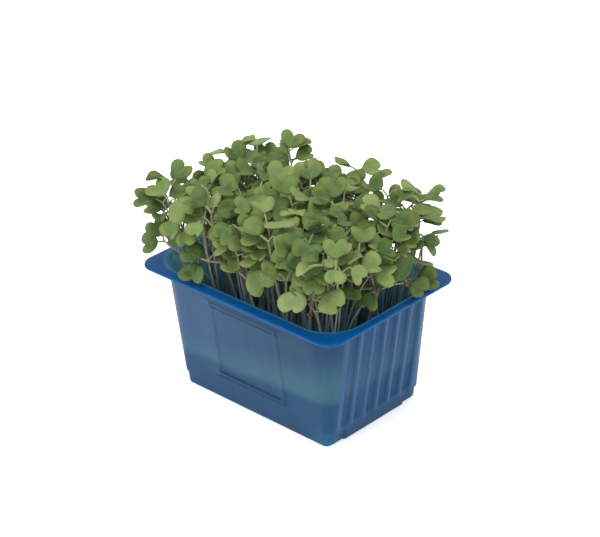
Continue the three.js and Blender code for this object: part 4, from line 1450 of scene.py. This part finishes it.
def leaf_look(settings, under):
    look = Look("leaf_underside" if under else "leaf_upper", Roughness=0.5, Specular_IOR_Level=0.12)
    chart = look.node("ShaderNodeUVMap", {"uv_map": "UVMap"}).outputs[0]
    parts = look.node("ShaderNodeSeparateXYZ", sockets={0: chart})
    along, side = Term(look, parts.outputs[0]), abs(Term(look, parts.outputs[1]))
    tone = look.kept("tone")
    patches = look.noise(5.0, 3)
    grain = look.noise(0.7, 4, rough=0.6)
    shade = settings.leaf_deep
    greens = (settings.leaf_mid, settings.leaf_light, settings.leaf_yellow)
    for green, (sway, start, end, share) in zip(greens, LEAF_TONES):
        shade = look.mix(look.step(tone + (patches - 0.5) * sway, start, end) * share, shade, green)
    shade = look.scaled(shade, 0.85 + grain * 0.3)
    rib = (1 - look.step(side, *MIDRIB_HALF)) * (1 - look.step(along, *MIDRIB_END))
    bearing = look.maths("ARCTAN2", side, along - BLADE_FOOT)
    low, high = (look.line_at(bearing, *vein) for vein in SIDE_VEINS)
    branches = (low + high) * look.step(side, *SIDE_VEINS_START) * (1 - look.step(side, *SIDE_VEINS_END))
    veins = look.maths("MINIMUM", rib + branches * SIDE_VEINS_SHARE, 1.0)
    past_hub = along - BLADE_HUB
    rim = look.step(look.maths("SQRT", side * side + past_hub * past_hub), *RIM_FROM_HUB)
    bloom = look.step(look.noise(4.5, 2), *BLOOM_PATCHES) * (1 - rim)
    shade = look.mix(bloom * BLOOM_SHARE, shade, settings.leaf_bloom)
    shade = look.mix(rim * RIM_SHARE, shade, settings.leaf_rim)
    colour = look.mix(veins * (UNDER_VEINS if under else UPPER_VEINS), shade, settings.vein)
    if under:
        colour = look.mix(UNDERSIDE_SHARE, colour, settings.underside)
    look.colour(colour)
    look.roughness(0.42 + grain * 0.2 + (0.12 if under else 0.0))
    height = grain * 0.25 - veins * (-0.4 if under else 0.3) + look.noise(2.2, 2) * 0.5
    look.bump(height, 0.25, 0.6)
    return look.material


def stem_look(settings):
    look = Look("stem", Roughness=0.42, Specular_IOR_Level=0.15)
    _, _, z = look.split(look.place)
    tone = look.kept("tone")
    mottle = look.noise(2.5, 3, look.stretched((1, 1, 0.35)))
    fine = look.noise(0.5, 3, look.stretched((1, 1, 0.2)))
    high = look.step(z + (mottle - 0.5) * STEM_PALE_SWAY, *STEM_PALE_Z)
    # Painted shade and blue light of the tub on the lower stems, pale above it
    colour = look.mix(high, settings.stem_shaded_in_tub, settings.stem_high)
    pink = look.step(tone + (mottle - 0.5) * BLUSH_SWAY, *BLUSH_TONES)
    colour = look.mix(high * pink * BLUSH_SHARE, colour, settings.blush)
    green = look.step(z + tone * STEM_GREEN_SWAY, *STEM_GREEN_Z)
    colour = look.mix(green * STEM_GREEN_SHARE, colour, settings.leaf_light)
    colour = look.scaled(colour, 0.8 + fine * 0.4)
    look.colour(colour)
    look.roughness(0.36 + fine * 0.2)
    look.bump(fine, 0.12, 0.5)
    return look.material


class CRESS_OT_make_seedlings(Operator):
    """Seedlings of the part: a fine piece for each of its clumps and single seedlings"""

    bl_idname = "cress.make_seedlings"
    bl_label = "Make seedlings"

    def execute(self, context):
        clumps = {}
        for seedling in part_seedlings():
            clumps.setdefault(seedling.clump, []).append(seedling)
        missing = set(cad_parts) - {"tub", "growing_pad"} - set(clumps)
        if missing:
            raise RuntimeError(f"The growing rule has no seedling for {sorted(missing)}")
        grower = Grower(context.scene.cress.seedlings, SEED + 2)
        for name in sorted(clumps):
            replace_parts(grower.grown(f"{name}_leafy", clumps[name]), name)
        grower.done()
        return {"FINISHED"}


class CRESS_OT_make_fillers(Operator):
    """Filler seedlings between those of the part, a few to a piece"""

    bl_idname = "cress.make_fillers"
    bl_label = "Make filler seedlings"

    def execute(self, context):
        settings = context.scene.cress.seedlings
        fillers = filler_seedlings(settings.fillers, settings.seed)
        print("Filler seedlings:", len(fillers))
        grower = Grower(settings, SEED + 6)
        for number, start in enumerate(range(0, len(fillers), FILLERS_EACH)):
            grower.grown(f"cress_filler_{number + 1:02d}", fillers[start : start + FILLERS_EACH])
        grower.done()
        return {"FINISHED"}


# Seed coats
def coat_pattern():
    """An empty half shell of a seed: a sphere cut along its length, drawn out and thickened inwards."""
    deselect()
    bpy.ops.mesh.primitive_uv_sphere_add(segments=9, ring_count=6, radius=COAT_RADIUS * MM)
    pattern = bpy.context.object
    pattern.name = pattern.data.name = "seed_coat"
    bpy.ops.object.mode_set(mode="EDIT")
    bpy.ops.mesh.select_all(action="SELECT")
    bpy.ops.mesh.bisect(plane_co=(0, 0, COAT_CUT * MM), plane_no=COAT_CUT_NORMAL, clear_outer=True)
    bpy.ops.mesh.select_all(action="SELECT")
    bpy.ops.transform.resize(value=COAT_STRETCH)
    bpy.ops.object.mode_set(mode="OBJECT")
    bpy.ops.object.modifier_add(type="SOLIDIFY")
    solidify = pattern.modifiers[-1]
    solidify.thickness = COAT_THICKNESS * MM
    solidify.offset = -1.0
    bpy.ops.object.modifier_apply(modifier=solidify.name)
    pattern.data.shade_smooth()
    return pattern


def coat_look(settings):
    look = Look("seed_coat", Roughness=0.5, Specular_IOR_Level=0.3)
    grain = look.noise(0.5, 4)
    patches = look.noise(6.0, 2)
    colour = look.mix(look.step(patches, 0.4, 0.7), settings.seed_coat, settings.seed_coat_dark)
    look.colour(look.scaled(colour, 0.7 + grain * 0.6))
    look.roughness(0.4 + grain * 0.3)
    look.bump(grain, 0.1, 0.6)
    return look.material


class CRESS_OT_make_seed_coats(Operator):
    """Seed coats: empty half shells on the pad and stuck to some of the stems"""

    bl_idname = "cress.make_seed_coats"
    bl_label = "Make seed coats"

    def execute(self, context):
        settings = context.scene.cress.seedlings
        draws = Draws(SEED + 4)
        spots = []
        for _ in range(COATS_ON_PAD):
            spots.append(np.array([draws.around(COATS_HALF_X), draws.around(COATS_HALF_Y), PAD_TOP_Z]))
        grown = [*part_seedlings(), *filler_seedlings(settings.fillers, settings.seed)]
        for _ in range(COATS_ON_STEMS):
            path = grown[int(draws.one() * len(grown))].path
            spots.append(bezier(path, [draws.between(*COAT_STEM_SHARES)])[0] + COAT_OFF_STEM)
        spots.append(placed_fillers()[0].path[3] + COAT_OFF_STEM)
        pattern = coat_pattern()
        flat = coordinates(pattern.data) / MM
        look = coat_look(settings)
        parts = []
        for spot in spots:
            turn, tip, roll = draws.between(0, 2 * math.pi), draws.around(COAT_TIP), draws.around(COAT_ROLL)
            lie = Leaf(spot, turn, 0, 0, tip, roll, 1, 0, 0)
            made = copy_of(pattern)
            place_vertices(made.data, spot + flat * draws.between(*COAT_SIZES) @ lie.axes)
            made.data.materials.append(look)
            parts.append(made)
        remove(pattern)
        piece = joined("seed_coats", parts)
        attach(piece, "root")
        return {"FINISHED"}


# Stage
class CRESS_OT_make_stage(Operator):
    """Stage: a pale floor, white surroundings, soft lights and the camera"""

    bl_idname = "cress.make_stage"
    bl_label = "Make stage"

    def execute(self, context):
        stage = context.scene.cress.stage
        deselect()
        bpy.ops.mesh.primitive_plane_add(size=FLOOR_SIZE, location=(0, 0, -FLOOR_GAP * MM))
        floor = context.object
        floor.name = "floor"
        bpy.ops.object.transform_apply(location=True, rotation=False, scale=False)
        look = Look("floor_paper", Roughness=0.9, Specular_IOR_Level=0.0, Emission_Strength=stage.floor_glow)
        look.colour(look.mix(look.noise(60, 2) * FLOOR_PATCH_SHARE, stage.floor, stage.floor_dark))
        floor.data.materials.append(look.material)
        floor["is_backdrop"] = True
        world = bpy.data.worlds.new("white_room")
        world.use_nodes = True
        background = world.node_tree.nodes["Background"].inputs
        background["Color"].default_value = (1, 1, 1, 1)
        background["Strength"].default_value = stage.world_strength
        context.scene.world = world
        context.scene.view_settings.view_transform = "Standard"
        for name, place, size, power in LIGHTS:
            bpy.ops.object.light_add(type="AREA", location=place)
            light = context.object
            light.name = name
            light.data.shape = "DISK"
            light.data.size = size
            light.data.energy = power * stage.key_power
            light.rotation_euler = (AIM * MM - Vector(place)).to_track_quat("-Z", "Y").to_euler()
        turn, rise = stage.camera_turn, stage.camera_rise
        out = math.cos(rise)
        away = Vector((math.sin(turn) * out, -math.cos(turn) * out, math.sin(rise)))
        bpy.ops.object.camera_add(location=AIM * MM + away * stage.camera_distance)
        camera = context.object
        facing = (-away).to_track_quat("-Z", "Y").to_matrix()
        camera.rotation_euler = (facing @ Matrix.Rotation(stage.camera_roll, 3, "Z")).to_euler()
        camera.data.lens = stage.camera_lens
        camera.data.sensor_width = SENSOR_WIDTH
        camera.data.clip_start = CLIP_START
        context.scene.camera = camera
        return {"FINISHED"}


class CRESS_PT_panel(Panel):
    """Lists the pieces of the potted cress"""

    bl_label = "Potted broccoli cress"
    bl_space_type = "VIEW_3D"
    bl_region_type = "UI"
    bl_category = "Cress"

    def draw(self, context):
        for step in STEPS:
            self.layout.operator(step.bl_idname)
        for group in ("tub", "pad", "seedlings", "stage"):
            settings = getattr(context.scene.cress, group)
            box = self.layout.box()
            for name in settings.__annotations__:
                box.prop(settings, name)


STEPS = (
    CRESS_OT_make_tub,
    CRESS_OT_make_pad,
    CRESS_OT_make_seedlings,
    CRESS_OT_make_fillers,
    CRESS_OT_make_seed_coats,
    CRESS_OT_make_stage,
)
GROUPS = (TubSettings, PadSettings, SeedlingSettings, StageSettings, CressSettings)


def register():
    for made in (*GROUPS, *STEPS, CRESS_PT_panel):
        bpy.utils.register_class(made)
    bpy.types.Scene.cress = PointerProperty(type=CressSettings)


def unregister():
    del bpy.types.Scene.cress
    for made in reversed((*GROUPS, *STEPS, CRESS_PT_panel)):
        bpy.utils.unregister_class(made)


def main():
    register()
    for step in STEPS:
        group, name = step.bl_idname.split(".")
        getattr(getattr(bpy.ops, group), name)()
    boxes = {"cad": CAD_BOX, "visual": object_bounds()}
    {name: [list(corner) for corner in box] for name, box in boxes.items()}


if __name__ == "__main__":
    main()
